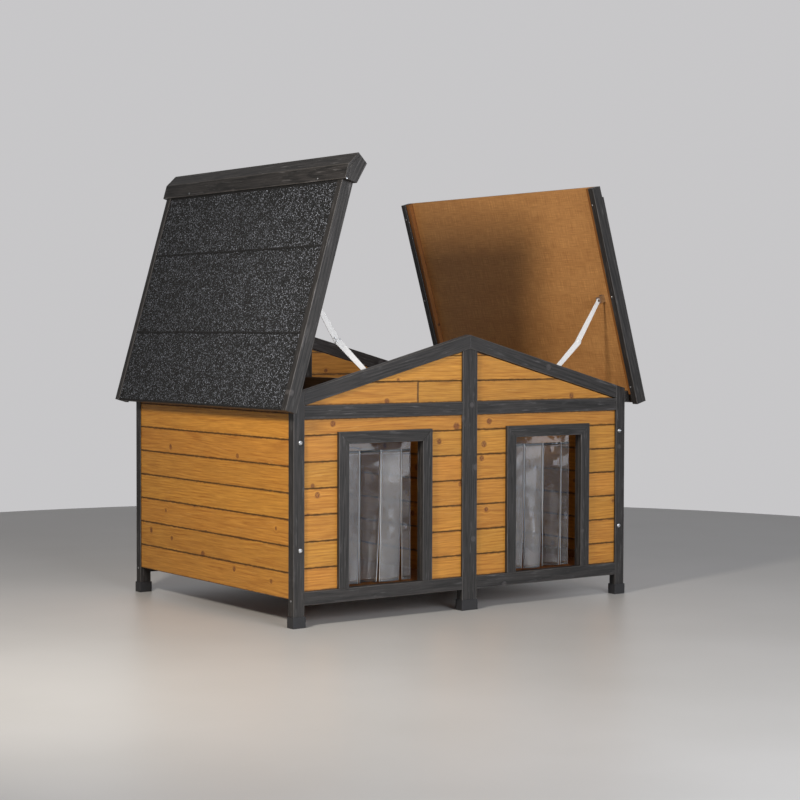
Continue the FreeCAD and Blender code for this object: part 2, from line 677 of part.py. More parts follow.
walls, pins = [], []
for side in ("left", "right"):
    leaves = []
    for k in (0, 1):
        wall_leaf, roof_leaf, pin = hinge(side, k)
        walls.append(wall_leaf)
        leaves.append(roof_leaf)
        pins.append(pin)
    name = "roof_%s_hinge_leaves" % side
    node(name, stand(side, group(name, leaves)))
node("hinge_wall_leaves", group("hinge_wall_leaves", walls))
node("hinge_pins", group("hinge_pins", pins))


# ---------------------------------------------------------------- folding stays
# Planes of the stay, from the inner face of the front frame backward.
WALL_PLATE = ("frame_thick", "frame_thick+bracket_thick")
LOW_ARM = (WALL_PLATE[1] + "+arm_step", WALL_PLATE[1] + "+arm_step+arm_thick")
LOW_HEAD = (LOW_ARM[1] + "+arm_step", LOW_ARM[1] + "+arm_step+head_thick")
UP_HEAD = (LOW_HEAD[0] + "+0.4", LOW_HEAD[0] + "+0.4+head_thick")
UP_ARM = (UP_HEAD[1] + "+arm_step", UP_HEAD[1] + "+arm_step+arm_thick")
EAR = (UP_ARM[1] + "+arm_step", UP_ARM[1] + "+arm_step+bracket_thick")

# Wall pivot, and from it the pivot on the open roof and the knee.
STAY_X, STAY_Z = "(%s-stay_in)" % HINGE_X, "(%s+stay_up)" % HINGE_Z
OUT_X = "(stay_in-(stay_along-hinge_along)*%s+(stay_off-hinge_off)*%s)" % (UPC, UPS)
UP_Z = "((stay_along-hinge_along)*%s+(stay_off-hinge_off)*%s-stay_up)" % (UPS, UPC)
ARMS = "(arms_spare*sqrt(%s^2+%s^2))" % (OUT_X, UP_Z)
LOW_LONG, UP_LONG = "(low_share*%s)" % ARMS, "((1-low_share)*%s)" % ARMS
BEND = ("acos(((low_share*arms_spare)^2+1-((1-low_share)*arms_spare)^2)"
        "/(2*low_share*arms_spare))")
LOW_TURN = "(atan2(%s; %s)-%s)" % (UP_Z, OUT_X, BEND)
UP_TURN = "atan2(%s-%s*sin(%s); %s-%s*cos(%s))" % (UP_Z, LOW_LONG, LOW_TURN, OUT_X, LOW_LONG,
                                                   LOW_TURN)


def arm(name, side, planes, length, holes):
    """Flat bar with round ends, broader at the knee, lying along the side it points to."""
    y = inward("front", *planes)
    away = "1" if side == "right" else "-1"
    # where the straight edges meet the round ends
    sine = "((knee_wide-arm_wide)/2/%s)" % length
    cosine = "sqrt(1-%s^2)" % sine
    near, far = "(-arm_wide/2*%s)" % sine, "(%s-knee_wide/2*%s)" % (length, sine)
    edge = [(away + "*" + near, "-arm_wide/2*" + cosine), (away + "*" + far, "-knee_wide/2*" + cosine),
            (away + "*" + far, "knee_wide/2*" + cosine), (away + "*" + near, "arm_wide/2*" + cosine)]
    if side == "left":
        edge.reverse()
    bar = [profile(name + "_bar", "XZ_Plane", edge, *y),
           rod(name + "_end_a", "arm_wide/2", "0", y, "0"),
           rod(name + "_end_b", "knee_wide/2", "%s*(%s)" % (away, length), y, "0")]
    wide = inward("front", planes[0] + "-1", planes[1] + "+1")
    bores = [rod("%s_bore_%d" % (name, k), radius, "%s*(%s)" % (away, x_), wide, "0")
             for k, (x_, radius) in enumerate(holes)]
    return minus(name, joined(name + "_solid", bar), bores)


def turned(side, thing, x, z, angle):
    axis = FreeCAD.Vector(0, -1 if side == "right" else 1, 0)
    thing.Placement = FreeCAD.Placement(FreeCAD.Vector(), FreeCAD.Rotation(axis, 30))
    bind(thing, "Placement.Rotation.Angle", angle)
    return place(thing, mirror(side, x), "0", z)


def stay(side):
    tag = "stay_%s_" % side
    # lower arm with the knee rivet, turning on the pin of the wall bracket
    low = arm(tag + "low_bar", side, LOW_ARM, LOW_LONG, [("0", "rivet+pin_play")])
    rivet = rod(tag + "knee_rivet", "rivet_head", mirror(side, LOW_LONG),
                inward("front", LOW_ARM[0] + "-head_thick", LOW_ARM[1] + "+head_thick"), "0")
    whole = joined(tag + "lower_arm", [low, rivet])
    node(tag + "lower_arm", turned(side, whole, STAY_X, STAY_Z, LOW_TURN))
    # upper arm, from the roof bracket back down to the knee
    other = "left" if side == "right" else "right"
    up = arm(tag + "up_bar", other, UP_ARM, UP_LONG, [("0", "rivet+pin_play"), (UP_LONG, "rivet")])
    whole = group(tag + "upper_arm", [up])
    node(tag + "upper_arm", turned(side, whole, "(%s+%s)" % (STAY_X, OUT_X),
                                   "(%s+%s)" % (STAY_Z, UP_Z), UP_TURN))
    # wall bracket and its pin
    plate = slab(tag + "plate", span(side, STAY_X + "-bracket_wide/2", STAY_X + "+bracket_wide/2"),
                 inward("front", *WALL_PLATE),
                 (STAY_Z + "-bracket_wide/2", STAY_Z + "+bracket_wide*1.6"))
    x = mirror(side, STAY_X)
    hole = rod(tag + "plate_hole", "rivet", x, inward("front", "frame_thick-1", WALL_PLATE[1] + "+1"),
               STAY_Z)
    plate = minus(tag + "wall_plate", plate, [hole])
    pin = joined(tag + "wall_pin", [
        rod(tag + "wall_shank", "rivet", x, inward("front", "frame_thick", LOW_HEAD[1]), STAY_Z),
        rod(tag + "wall_head", "rivet_head", x, inward("front", *LOW_HEAD), STAY_Z)])
    # bracket under the roof deck, an ear with a flange, and its pin
    at_s = ("stay_along-bracket_wide/2", "stay_along+bracket_wide/2")
    ear = slab(tag + "ear", run(side, *at_s), inward("front", *EAR),
               off("stay_off-rivet_head-2", "deck_off"))
    flange = slab(tag + "flange", run(side, *at_s), inward("front", EAR[0], EAR[1] + "+flange_wide"),
                  off("deck_off-bracket_thick", "deck_off"))
    px = "stay_along-hinge_along" if side == "left" else "-(stay_along-hinge_along)"
    pz = "stay_off-hinge_off"
    stud = [rod(tag + "roof_shank", "rivet", px, inward("front", UP_HEAD[0], EAR[1]), pz),
            rod(tag + "roof_head", "rivet_head", px, inward("front", *UP_HEAD), pz)]
    name = "roof_%s_stay_bracket" % side
    node(name, stand(side, joined(name, [ear, flange] + stud)))
    return plate, pin


sets = [stay("left"), stay("right")]
node("stay_wall_brackets", group("stay_wall_brackets", [s[0] for s in sets]))
node("stay_wall_pins", group("stay_wall_pins", [s[1] for s in sets]))


# ---------------------------------------------------------------- checks and files
doc.recompute()
bad = [o.Name for o in doc.Objects if "Invalid" in o.State or "Error" in o.State]
if bad:
    raise RuntimeError("failed objects: %s" % ", ".join(bad))
os.makedirs("parts", exist_ok=True)
for thing in NODES:
    shape = thing.Shape
    if shape.isNull() or not shape.isValid() or not shape.Solids:
        raise RuntimeError("bad shape: %s" % thing.Label)
for thing in NODES:
    shape = thing.Shape
    shape.exportStep("parts/%s.step" % thing.Label)
    box = shape.BoundBox
    print("%-24s %2d solids  %9.0f mm3  x %7.1f %7.1f  y %7.1f %7.1f  z %7.1f %7.1f" % (
        thing.Label, len(shape.Solids), shape.Volume, box.XMin, box.XMax, box.YMin, box.YMax,
        box.ZMin, box.ZMax))
print("stay: pivot %.3f %.3f, arms %.3f %.3f, turns %.3f %.3f" % tuple(
    number(text) for text in (STAY_X, STAY_Z, LOW_LONG, UP_LONG, LOW_TURN, UP_TURN)))
print("hinge %.3f %.3f, apex %.3f" % tuple(number(text) for text in (HINGE_X, HINGE_Z, APEX)))
print("%d sub-parts" % len(NODES))
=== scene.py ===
# %% [markdown]
# # A wooden dog house with two rooms
# This lesson dresses the CAD model of a flat-pack dog house: planks with vee joints,
# charcoal frame timber, mineral felt on a lift-up roof and clear strips in the doors.
# The CAD model gives every place and size. Here the pieces get their small roundings,
# their grain, their fixings and their light.

# %% Load the frame
import math

import bmesh
import bpy
import numpy as np
from mathutils import Matrix, Vector


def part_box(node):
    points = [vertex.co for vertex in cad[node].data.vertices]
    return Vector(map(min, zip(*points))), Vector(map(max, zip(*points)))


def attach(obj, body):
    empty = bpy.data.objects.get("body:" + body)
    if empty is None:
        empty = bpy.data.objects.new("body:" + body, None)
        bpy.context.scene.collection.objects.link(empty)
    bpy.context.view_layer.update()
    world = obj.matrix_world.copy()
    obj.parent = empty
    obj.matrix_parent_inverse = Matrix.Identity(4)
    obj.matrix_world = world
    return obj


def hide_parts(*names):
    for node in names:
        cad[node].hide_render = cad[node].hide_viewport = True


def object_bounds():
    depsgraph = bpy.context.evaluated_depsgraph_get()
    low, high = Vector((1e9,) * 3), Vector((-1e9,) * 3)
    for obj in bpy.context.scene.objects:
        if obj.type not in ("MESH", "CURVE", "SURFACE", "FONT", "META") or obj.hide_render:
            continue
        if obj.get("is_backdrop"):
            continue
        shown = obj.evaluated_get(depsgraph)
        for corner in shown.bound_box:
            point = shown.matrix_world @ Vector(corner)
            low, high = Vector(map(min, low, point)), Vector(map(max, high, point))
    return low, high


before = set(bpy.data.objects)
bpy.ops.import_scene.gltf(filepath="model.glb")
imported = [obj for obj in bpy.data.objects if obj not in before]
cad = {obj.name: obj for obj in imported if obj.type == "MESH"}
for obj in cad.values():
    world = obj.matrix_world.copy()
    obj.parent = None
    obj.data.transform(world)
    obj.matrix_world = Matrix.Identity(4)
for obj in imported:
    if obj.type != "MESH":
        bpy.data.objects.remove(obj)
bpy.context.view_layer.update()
MM = 0.001

# %% [markdown]
# ## The camera
# A product photograph of a large box is taken from some metres away with a long lens, so
# that its upright edges stay upright. The place and the turn below were solved from the
# corners of the two walls. The camera's axes are written straight into its matrix, which
# is simpler than chaining three rotations.

# %% Camera at the photo's angle
spot = Vector((-3.6094, -5.0673, 0.8775))
yaw, pitch, roll = (math.radians(a) for a in (36.073, -2.090, 0.1737))
ahead = Vector((math.sin(yaw) * math.cos(pitch), math.cos(yaw) * math.cos(pitch), math.sin(pitch)))
level = Vector((math.cos(yaw), -math.sin(yaw), 0))
rise = level.cross(ahead)
across = level * math.cos(roll) + rise * math.sin(roll)
upward = rise * math.cos(roll) - level * math.sin(roll)
camera = bpy.data.objects.new("camera", bpy.data.cameras.new("camera"))
bpy.context.collection.objects.link(camera)
axes = Matrix((across, upward, -ahead)).transposed().to_4x4()
camera.matrix_world = Matrix.Translation(spot) @ axes
camera.data.lens = 83.40
HALF_PIXEL = 0.5 / 800
camera.data.shift_y = -HALF_PIXEL  # of a picture 800 pixels wide
camera.data.clip_end = 60
bpy.context.scene.camera = camera
print("camera", round(spot.length, 2), "m away")

# %% [markdown]
# ## Helpers for materials
# Paint charts and photographs give colours in sRGB, but a shader adds light in linear
# values, so one function turns a hex code into linear numbers. The other helpers add a
# node, set it and link it in one line, which keeps long node chains readable.


# %% Colour and node helpers
def srgb(code):
    """Linear colour with alpha of an sRGB hex code."""
    parts = [int(code[i:i + 2], 16) / 255 for i in (1, 3, 5)]
    return [c / 12.92 if c <= 0.04045 else ((c + 0.055) / 1.055) ** 2.4 for c in parts] + [1.0]


def feed(tree, node, inputs):
    """Sets each socket to a value, or links it to the socket that feeds it."""
    for key, value in inputs.items():
        if isinstance(value, bpy.types.NodeSocket):
            tree.links.new(value, node.inputs[key])
        else:
            node.inputs[key].default_value = value


def put(tree, kind, inputs=None, **settings):
    """Adds a node with its settings and feeds its inputs."""
    node = tree.nodes.new(kind)
    for name, value in settings.items():
        setattr(node, name, value)
    feed(tree, node, inputs or {})
    return node


def blank(name):
    """A new node material, its tree and its surface shader."""
    material = bpy.data.materials.new(name)
    material.use_nodes = True
    return material, material.node_tree, material.node_tree.nodes["Principled BSDF"]


print("mid grey is", [round(c, 3) for c in srgb("#808080")][:3])

# %% [markdown]
# ## Studio light
# The house stands on a pale floor that ends about three metres away. A small lamp stands
# on the left, so near that its light falls off along the side wall and throws the shadow
# of one roof panel on the other. A large softbox in front evens out the front wall, and a
# dim one on the right is mirrored by the door strips. The room is dim except for a pale
# wall behind the house. A world whose strength depends on the direction does that, and
# glossy pieces find something bright and something dark to mirror.

# %% Floor, softboxes and room
FLOOR_RADIUS = 3.3
BRIGHT_WALL = (0.589, 0.808, -0.25)


def object_from(name, bm):
    """A linked object whose mesh is what the bmesh holds; the bmesh is freed."""
    mesh = bpy.data.meshes.new(name)
    bm.to_mesh(mesh)
    bm.free()
    obj = bpy.data.objects.new(name, mesh)
    bpy.context.collection.objects.link(obj)
    return obj


bpy.context.scene.view_settings.view_transform = "Standard"
paint, tree, shader = blank("painted concrete")
where = put(tree, "ShaderNodeTexCoord").outputs["Object"]
patches = put(tree, "ShaderNodeTexNoise", {"Vector": where, "Scale": 1.3, "Detail": 4.0})
tone = put(tree, "ShaderNodeMix", {0: patches.outputs[0], 6: srgb("#b8b7b4"), 7: srgb("#cccbca")},
           data_type="RGBA").outputs[2]
feed(tree, shader, {"Base Color": tone, "Roughness": 0.4})

bm = bmesh.new()
bmesh.ops.create_circle(bm, cap_ends=True, segments=96, radius=FLOOR_RADIUS)
floor = object_from("floor", bm)
floor.data.materials.append(paint)
floor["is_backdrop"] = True


def softbox(name, place, aim, wide, high, watts, tint):
    """A rectangular lamp at a place, turned to face a point."""
    lamp = bpy.data.lights.new(name, "AREA")
    lamp.shape, lamp.size, lamp.size_y = "RECTANGLE", wide, high
    lamp.energy, lamp.color = watts, srgb(tint)[:3]
    holder = bpy.data.objects.new(name, lamp)
    bpy.context.collection.objects.link(holder)
    holder.visible_camera = False
    facing = (Vector(aim) - Vector(place)).to_track_quat("-Z", "Y").to_matrix().to_4x4()
    holder.matrix_world = Matrix.Translation(place) @ facing
    return holder


softbox("left lamp", (-2.35, -1.27, 1.71), (0.1, 0, 0.9), 0.35, 0.35, 53, "#fff6ea")
softbox("front softbox", (-0.6, -4.6, 1.8), (-0.1, 0, 0.5), 2.2, 1.8, 118, "#f6f9ff")
softbox("right softbox", (2.5, -4.0, 0.95), (0.2, -0.5, 0.4), 1.6, 1.6, 15, "#f8faff")
room = bpy.data.worlds.new("room")
room.use_nodes = True
tree = room.node_tree
way = put(tree, "ShaderNodeTexCoord").outputs["Generated"]
facing_wall = put(tree, "ShaderNodeVectorMath", {0: way, 1: BRIGHT_WALL},
                  operation="DOT_PRODUCT").outputs["Value"]
glow = put(tree, "ShaderNodeMapRange", {0: facing_wall, 1: 0.3, 2: 0.92, 3: 0.13, 4: 0.6},
           interpolation_type="SMOOTHSTEP").outputs[0]
feed(tree, tree.nodes["Background"], {0: srgb("#faf9fb"), 1: glow})
bpy.context.scene.world = room
print("three lamps and a room with one bright wall")

# %% [markdown]
# ## What a board knows about itself
# Grain runs along each board, whichever way the board points, so one pattern in room
# coordinates would cut across every upright post. Each board therefore carries three
# measures on its vertices: its own coordinates from its middle, half its size, and a
# random triple. The length is taken from the longest edge, and the width and thickness
# from the largest face, so that a tongue doesn't count as part of the face. Boards are
# measured in the order of their places, so that each run gives a board the same grain.


# %% Board measures
def separate_boards(bm):
    """Splits boards that share an edge, by walking only over edges with two faces."""
    left = dict.fromkeys(bm.faces)
    while left:
        first = next(iter(left))
        del left[first]
        group, queue = [first], [first]
        while queue:
            for edge in queue.pop().edges:
                if len(edge.link_faces) != 2:
                    continue
                for other in edge.link_faces:
                    if other in left:
                        del left[other]
                        group.append(other)
                        queue.append(other)
        if left:
            bmesh.ops.split(bm, geom=group)


def spot_of(verts):
    """The middle of some vertices, rounded, which sorts in the same order every time."""
    return tuple(round(sum(vert.co[k] for vert in verts) / len(verts), 5) for k in range(3))


def boards_of(bm):
    """The vertices of each board, in the order of the boards' places."""
    waiting, boards = set(bm.verts), []
    for first in bm.verts:
        if first not in waiting:
            continue
        waiting.discard(first)
        verts, queue = [first], [first]
        while queue:
            for edge in queue.pop().link_edges:
                for vert in edge.verts:
                    if vert in waiting:
                        waiting.discard(vert)
                        verts.append(vert)
                        queue.append(vert)
        boards.append(verts)
    return sorted(boards, key=spot_of)


def axes_of(verts):
    """Directions along, across and through a board, and its largest face."""
    edges = dict.fromkeys(edge for vert in verts for edge in vert.link_edges)
    faces = dict.fromkeys(face for vert in verts for face in vert.link_faces)
    longest = max(edges, key=lambda edge: (round(edge.calc_length(), 5), spot_of(edge.verts)))
    along = (longest.verts[1].co - longest.verts[0].co).normalized()
    if sum(along) < 0:
        along.negate()
    widest = max(faces, key=lambda face: (round(face.calc_area(), 6), spot_of(face.verts)))
    through = (widest.normal - along * widest.normal.dot(along)).normalized()
    return (along, through.cross(along), through), widest


def measure_boards(bm, seed, whole=False):
    """Writes place, half and board on the vertices of every board; whole counts tongues too."""
    chance = np.random.default_rng(seed)
    place, half, own = (bm.verts.layers.float_vector.new(name) for name in ("place", "half", "board"))
    boards = boards_of(bm)
    for verts in boards:
        axes, widest = axes_of(verts)
        turned = [[vert.co.dot(axis) for axis in axes] for vert in verts]
        low, high = np.min(turned, 0), np.max(turned, 0)
        if not whole:
            shown = [vert.co.dot(axes[1]) for vert in widest.verts]
            low[1], high[1] = min(shown), max(shown)
        triple = Vector(chance.random(3))
        for vert, spot in zip(verts, turned):
            vert[place] = Vector(spot - (low + high) / 2)
            vert[half] = Vector((high - low) / 2)
            vert[own] = triple
    return len(boards)


trial = bmesh.new()
bmesh.ops.create_cube(trial, size=0.1)
print("boards in a test cube:", measure_boards(trial, 1))
trial.free()

# %% [markdown]
# A CAD mesh is loose triangles. Before a board is measured its doubles are merged, boards
# that touch are parted, flat faces are made whole again and sharp edges are rounded.

# %% Ready boards
DOUBLES = 0.01 * MM
board_counts = {}


def ready_boards(obj, arris, seed, whole=False):
    """Merges, splits, rounds and measures the boards of an object, all in its mesh."""
    bm = bmesh.new()
    bm.from_mesh(obj.data)
    bmesh.ops.remove_doubles(bm, verts=bm.verts, dist=DOUBLES)
    separate_boards(bm)
    bmesh.ops.dissolve_limit(bm, angle_limit=0.01, verts=bm.verts, edges=bm.edges)
    bmesh.ops.recalc_face_normals(bm, faces=bm.faces)
    if arris:
        sharp = [e for e in bm.edges if len(e.link_faces) == 2 and e.calc_face_angle(0) > 0.5
                 and e.calc_length() > 6 * arris]
        bmesh.ops.bevel(bm, geom=sharp, offset=arris, segments=2, affect="EDGES", profile=0.5,
                        clamp_overlap=False)
    board_counts[obj.name] = measure_boards(bm, seed, whole)
    bm.to_mesh(obj.data)
    bm.free()


print("points within", DOUBLES, "m are merged")

# %% [markdown]
# ## Patterns on boards
# Two patterns are used by several finishes. One is noise that is stretched along the
# board, for fibres, stains and scratches. The other is the distance from a point to the
# faces of its board, from which a worn arris or a cut edge is drawn.


# %% Stretched noise and distance to the faces
def stretched_noise(tree, where, stretch, **inputs):
    """Noise whose grains measure about 1 / stretch metres along each axis."""
    scaled = put(tree, "ShaderNodeVectorMath", {0: where, 1: stretch}, operation="MULTIPLY").outputs[0]
    return put(tree, "ShaderNodeTexNoise", {"Vector": scaled, "Scale": 1.0, **inputs}).outputs


def to_faces(tree):
    """How far a point lies from its board's ends, its sides and its faces."""
    place, half = (put(tree, "ShaderNodeAttribute", attribute_name=name).outputs["Vector"]
                   for name in ("place", "half"))
    away = put(tree, "ShaderNodeVectorMath", {0: place}, operation="ABSOLUTE").outputs[0]
    away = put(tree, "ShaderNodeVectorMath", {0: half, 1: away}, operation="SUBTRACT").outputs[0]
    return put(tree, "ShaderNodeSeparateXYZ", {0: away}).outputs


print("two patterns for boards")

# %% [markdown]
# ## Stained softwood
# Planks and frame are sawn and planed pine. Stain soaks in between the growth rings, so
# the rings read as darker lines that bend round knots. Knots come from a cell pattern, 210
# by 66 mm, of which only some cells count. Each gives its core and the pull on the rings.


# %% Knots
KNOT_CELL = (210 * MM, 66 * MM, 0)


def knot_marks(tree, grain, knots):
    """Core of the knots, and by how much they push the rings aside; knots is the share of cells."""
    per_cell = (1 / KNOT_CELL[0], 1 / KNOT_CELL[1], 0)
    cell = put(tree, "ShaderNodeVectorMath", {0: grain, 1: per_cell}, operation="MULTIPLY").outputs[0]
    cells = put(tree, "ShaderNodeTexVoronoi", {"Vector": cell, "Scale": 1.0, "Randomness": 0.85},
                voronoi_dimensions="2D").outputs
    apart = put(tree, "ShaderNodeVectorMath", {0: cell, 1: cells["Position"]},
                operation="SUBTRACT").outputs[0]
    apart = put(tree, "ShaderNodeVectorMath", {0: apart, 1: KNOT_CELL}, operation="MULTIPLY").outputs[0]
    reach = put(tree, "ShaderNodeVectorMath", {0: apart}, operation="LENGTH").outputs["Value"]
    lot = put(tree, "ShaderNodeSeparateColor", {0: cells["Color"]}).outputs
    here = put(tree, "ShaderNodeMath", {0: lot[0], 1: knots}, operation="LESS_THAN").outputs[0]
    radius = put(tree, "ShaderNodeMapRange", {0: lot[1], 3: 3.8 * MM, 4: 8.5 * MM}).outputs[0]
    outer = put(tree, "ShaderNodeMath", {0: radius, 1: 1.9}, operation="MULTIPLY").outputs[0]
    core = put(tree, "ShaderNodeMapRange", {0: reach, 1: radius, 2: outer, 3: 1.0, 4: 0.0},
               interpolation_type="SMOOTHSTEP").outputs[0]
    core = put(tree, "ShaderNodeMath", {0: core, 1: here}, operation="MULTIPLY").outputs[0]
    speck = put(tree, "ShaderNodeTexNoise", {"Vector": grain, "Scale": 260.0, "Detail": 2.0}).outputs[0]
    speck = put(tree, "ShaderNodeMapRange", {0: speck, 1: 0.35, 2: 0.6, 3: 0.45, 4: 1.0}).outputs[0]
    core = put(tree, "ShaderNodeMath", {0: core, 1: speck}, operation="MULTIPLY").outputs[0]
    near = put(tree, "ShaderNodeMapRange", {0: reach, 1: 3 * MM, 2: 22 * MM, 3: 0.8, 4: 0.0},
               interpolation_type="SMOOTHERSTEP").outputs[0]
    near = put(tree, "ShaderNodeMath", {0: near, 1: here}, operation="MULTIPLY").outputs[0]
    pushed = put(tree, "ShaderNodeVectorMath", {0: apart, 3: near}, operation="SCALE").outputs[0]
    return core, pushed


print("knots in cells of", KNOT_CELL[:2], "m")

# %% [markdown]
# The ring pattern is the distance from a pith line that lies beside the board, different
# for each board, with a slow wobble. Real rings are 2 to 4 mm apart, which is finer than a
# pixel here, so they are drawn 8 mm apart.

# %% Growth rings
RING = 8 * MM


def growth_rings(tree, grain, pushed):
    """Dark ring lines, and the grain's coordinates bent by wobble and knots."""
    wobble = stretched_noise(tree, grain, (1.3, 8.0, 8.0), Detail=2.0, Roughness=0.45)["Color"]
    wobble = put(tree, "ShaderNodeVectorMath", {0: wobble, 1: (0.0, 0.036, 0.036), 2: (0.0, -0.018, -0.018)},
                 operation="MULTIPLY_ADD").outputs[0]
    bent = put(tree, "ShaderNodeVectorMath", {0: grain, 1: wobble}).outputs[0]
    bent = put(tree, "ShaderNodeVectorMath", {0: bent, 1: pushed}, operation="SUBTRACT").outputs[0]
    taper = put(tree, "ShaderNodeSeparateXYZ", {0: bent}).outputs[0]
    flat = put(tree, "ShaderNodeVectorMath", {0: bent, 1: (0.0, 1.0, 1.0)}, operation="MULTIPLY").outputs[0]
    pith = put(tree, "ShaderNodeVectorMath", {0: flat}, operation="LENGTH").outputs["Value"]
    pith = put(tree, "ShaderNodeMath", {0: taper, 1: 0.02, 2: pith}, operation="MULTIPLY_ADD").outputs[0]
    phase = put(tree, "ShaderNodeMath", {0: pith, 1: 1 / RING}, operation="MULTIPLY").outputs[0]
    turn = put(tree, "ShaderNodeMath", {0: phase}, operation="FRACT").outputs[0]
    lines = put(tree, "ShaderNodeValToRGB", {0: turn})
    ramp = lines.color_ramp.elements
    ramp[0].position, ramp[1].position = 0.30, 1.0
    ramp[0].color, ramp[1].color = (0, 0, 0, 1), (0.15, 0.15, 0.15, 1)
    ramp.new(0.82).color = (1, 1, 1, 1)
    return lines.outputs[0], bent


print("rings", RING, "m apart")

# %% [markdown]
# The stain on top differs a little from board to board, lies in blotches and is worn or
# pooled along the arrises; on the golden planks the dark rim also paints the shade in the
# vee joints. Handling leaves pale scuffs. One function takes the colours and shares of a
# stain and joins all of this to one material.


# %% The wood material
def stained_wood(name, pale, late, knot, rim, scuff, rim_reach, rim_share, rings, fibres, knots,
                 scuffs, rough, coat):
    """Sawn softwood under a stain; the shares say how much of each mark shows."""
    material, tree, shader = blank(name)
    place, own = (put(tree, "ShaderNodeAttribute", attribute_name=key).outputs["Vector"]
                  for key in ("place", "board"))
    shift = put(tree, "ShaderNodeVectorMath", {0: own, 1: (7.0, 0.09, 0.05), 2: (0, -0.045, 0.018)},
                operation="MULTIPLY_ADD").outputs[0]
    grain = put(tree, "ShaderNodeVectorMath", {0: place, 1: shift}).outputs[0]
    core, pushed = knot_marks(tree, grain, knots)
    lines, bent = growth_rings(tree, grain, pushed)

    # fibres, about 4 mm wide and 90 mm long, and blotches of stain
    fibre = stretched_noise(tree, bent, (11.0, 270.0, 270.0), Detail=3.0, Roughness=0.6)[0]
    blotch = stretched_noise(tree, grain, (9.0, 22.0, 22.0), Detail=3.0)[0]
    clear = put(tree, "ShaderNodeMapRange", {0: blotch, 1: 0.35, 2: 0.7, 3: 0.25, 4: 1.0}).outputs[0]
    share = put(tree, "ShaderNodeMath", {0: lines, 1: clear}, operation="MULTIPLY").outputs[0]
    share = put(tree, "ShaderNodeMath", {0: share, 1: rings}, operation="MULTIPLY").outputs[0]
    streak = put(tree, "ShaderNodeMapRange", {0: fibre, 1: 0.3, 2: 0.75, 3: 0.0, 4: fibres}).outputs[0]
    share = put(tree, "ShaderNodeMath", {0: share, 1: streak}, use_clamp=True).outputs[0]
    colour = srgb(pale)
    for amount, code in ((share, late), (core, knot)):
        colour = put(tree, "ShaderNodeMix", {0: amount, 6: colour, 7: srgb(code)},
                     data_type="RGBA").outputs[2]

    # each board takes the stain a little differently
    lots = put(tree, "ShaderNodeSeparateXYZ", {0: own}).outputs
    value = put(tree, "ShaderNodeMapRange", {0: lots[0], 3: 0.93, 4: 1.06}).outputs[0]
    value = put(tree, "ShaderNodeMath", {0: blotch, 1: 0.3, 2: value}, operation="MULTIPLY_ADD").outputs[0]
    value = put(tree, "ShaderNodeMath", {0: value, 1: 0.15}, operation="SUBTRACT").outputs[0]
    hue = put(tree, "ShaderNodeMapRange", {0: lots[1], 3: 0.497, 4: 0.504}).outputs[0]
    colour = put(tree, "ShaderNodeHueSaturation", {"Hue": hue, "Value": value, "Color": colour}).outputs[0]

    # distance to the nearest arris is the middle one of the three distances to the faces
    ends, sides, faces = to_faces(tree)
    least = put(tree, "ShaderNodeMath", {0: sides, 1: faces}, operation="MINIMUM").outputs[0]
    most = put(tree, "ShaderNodeMath", {0: sides, 1: faces}, operation="MAXIMUM").outputs[0]
    middle = put(tree, "ShaderNodeMath", {0: most, 1: ends}, operation="MINIMUM").outputs[0]
    middle = put(tree, "ShaderNodeMath", {0: least, 1: middle}, operation="MAXIMUM").outputs[0]
    # rim colour near the arrises: pale wear on the charcoal timber; on the golden planks pooled stain and
    # painted shade in the vee joints
    ragged = put(tree, "ShaderNodeTexNoise", {"Vector": grain, "Scale": 60.0, "Detail": 3.0}).outputs[0]
    ragged = put(tree, "ShaderNodeMath", {0: ragged, 1: 2.2 * rim_reach}, operation="MULTIPLY").outputs[0]
    edge = put(tree, "ShaderNodeMapRange", {0: middle, 1: 0.0, 2: ragged, 3: rim_share, 4: 0.0},
               interpolation_type="SMOOTHSTEP").outputs[0]

    # scuffs and dust: short pale scratches, a few millimetres wide
    scratch = stretched_noise(tree, bent, (13.0, 130.0, 130.0), Detail=4.0, Roughness=0.65)[0]
    scratch = put(tree, "ShaderNodeMapRange", {0: scratch, 1: 0.58, 2: 0.8, 3: 0.0, 4: scuffs}).outputs[0]
    for amount, code in ((edge, rim), (scratch, scuff)):
        colour = put(tree, "ShaderNodeMix", {0: amount, 6: colour, 7: srgb(code)},
                     data_type="RGBA").outputs[2]

    matt = put(tree, "ShaderNodeMapRange", {0: fibre, 3: rough - 0.08, 4: rough + 0.12}).outputs[0]
    height = put(tree, "ShaderNodeMath", {0: lines, 1: 0.5, 2: fibre}, operation="MULTIPLY_ADD").outputs[0]
    bump = put(tree, "ShaderNodeBump", {"Height": height, "Strength": 0.35, "Distance": 0.5 * MM})
    feed(tree, shader, {"Base Color": colour, "Roughness": matt, "Coat Weight": coat,
                        "Coat Roughness": 0.45, "Normal": bump.outputs[0]})
    return material


# Golden brown stain on planed pine: warm and satin; the dark rim at the joints is pooled stain and painted
# shade of the vee joints.
golden_pine = stained_wood(
    "golden stained pine", pale="#cd9038", late="#985c14", knot="#6e3a16", rim="#2e1a08",
    scuff="#deb26a", rim_reach=4.6 * MM, rim_share=0.93, rings=0.4, fibres=0.75, knots=0.5,
    scuffs=0.3, rough=0.5, coat=0.1)
# The same stain on the hidden framing, unplaned and a little duller.
brown_pine = stained_wood(
    "brown stained pine", pale="#8d5823", late="#6a3f13", knot="#42240c", rim="#3a2411",
    scuff="#a97c46", rim_reach=3 * MM, rim_share=0.4, rings=0.4, fibres=0.5, knots=0.4,
    scuffs=0.15, rough=0.62, coat=0.0)
# Charcoal stain on planed pine: nearly black, grain just visible, knots and arrises lighter.
charcoal_pine = stained_wood(
    "charcoal stained pine", pale="#383534", late="#131211", knot="#4a4747", rim="#5c5855",
    scuff="#8d8b8c", rim_reach=1.6 * MM, rim_share=0.45, rings=0.8, fibres=1.0, knots=0.4,
    scuffs=0.45, rough=0.5, coat=0.12)
print("three stains on pine")

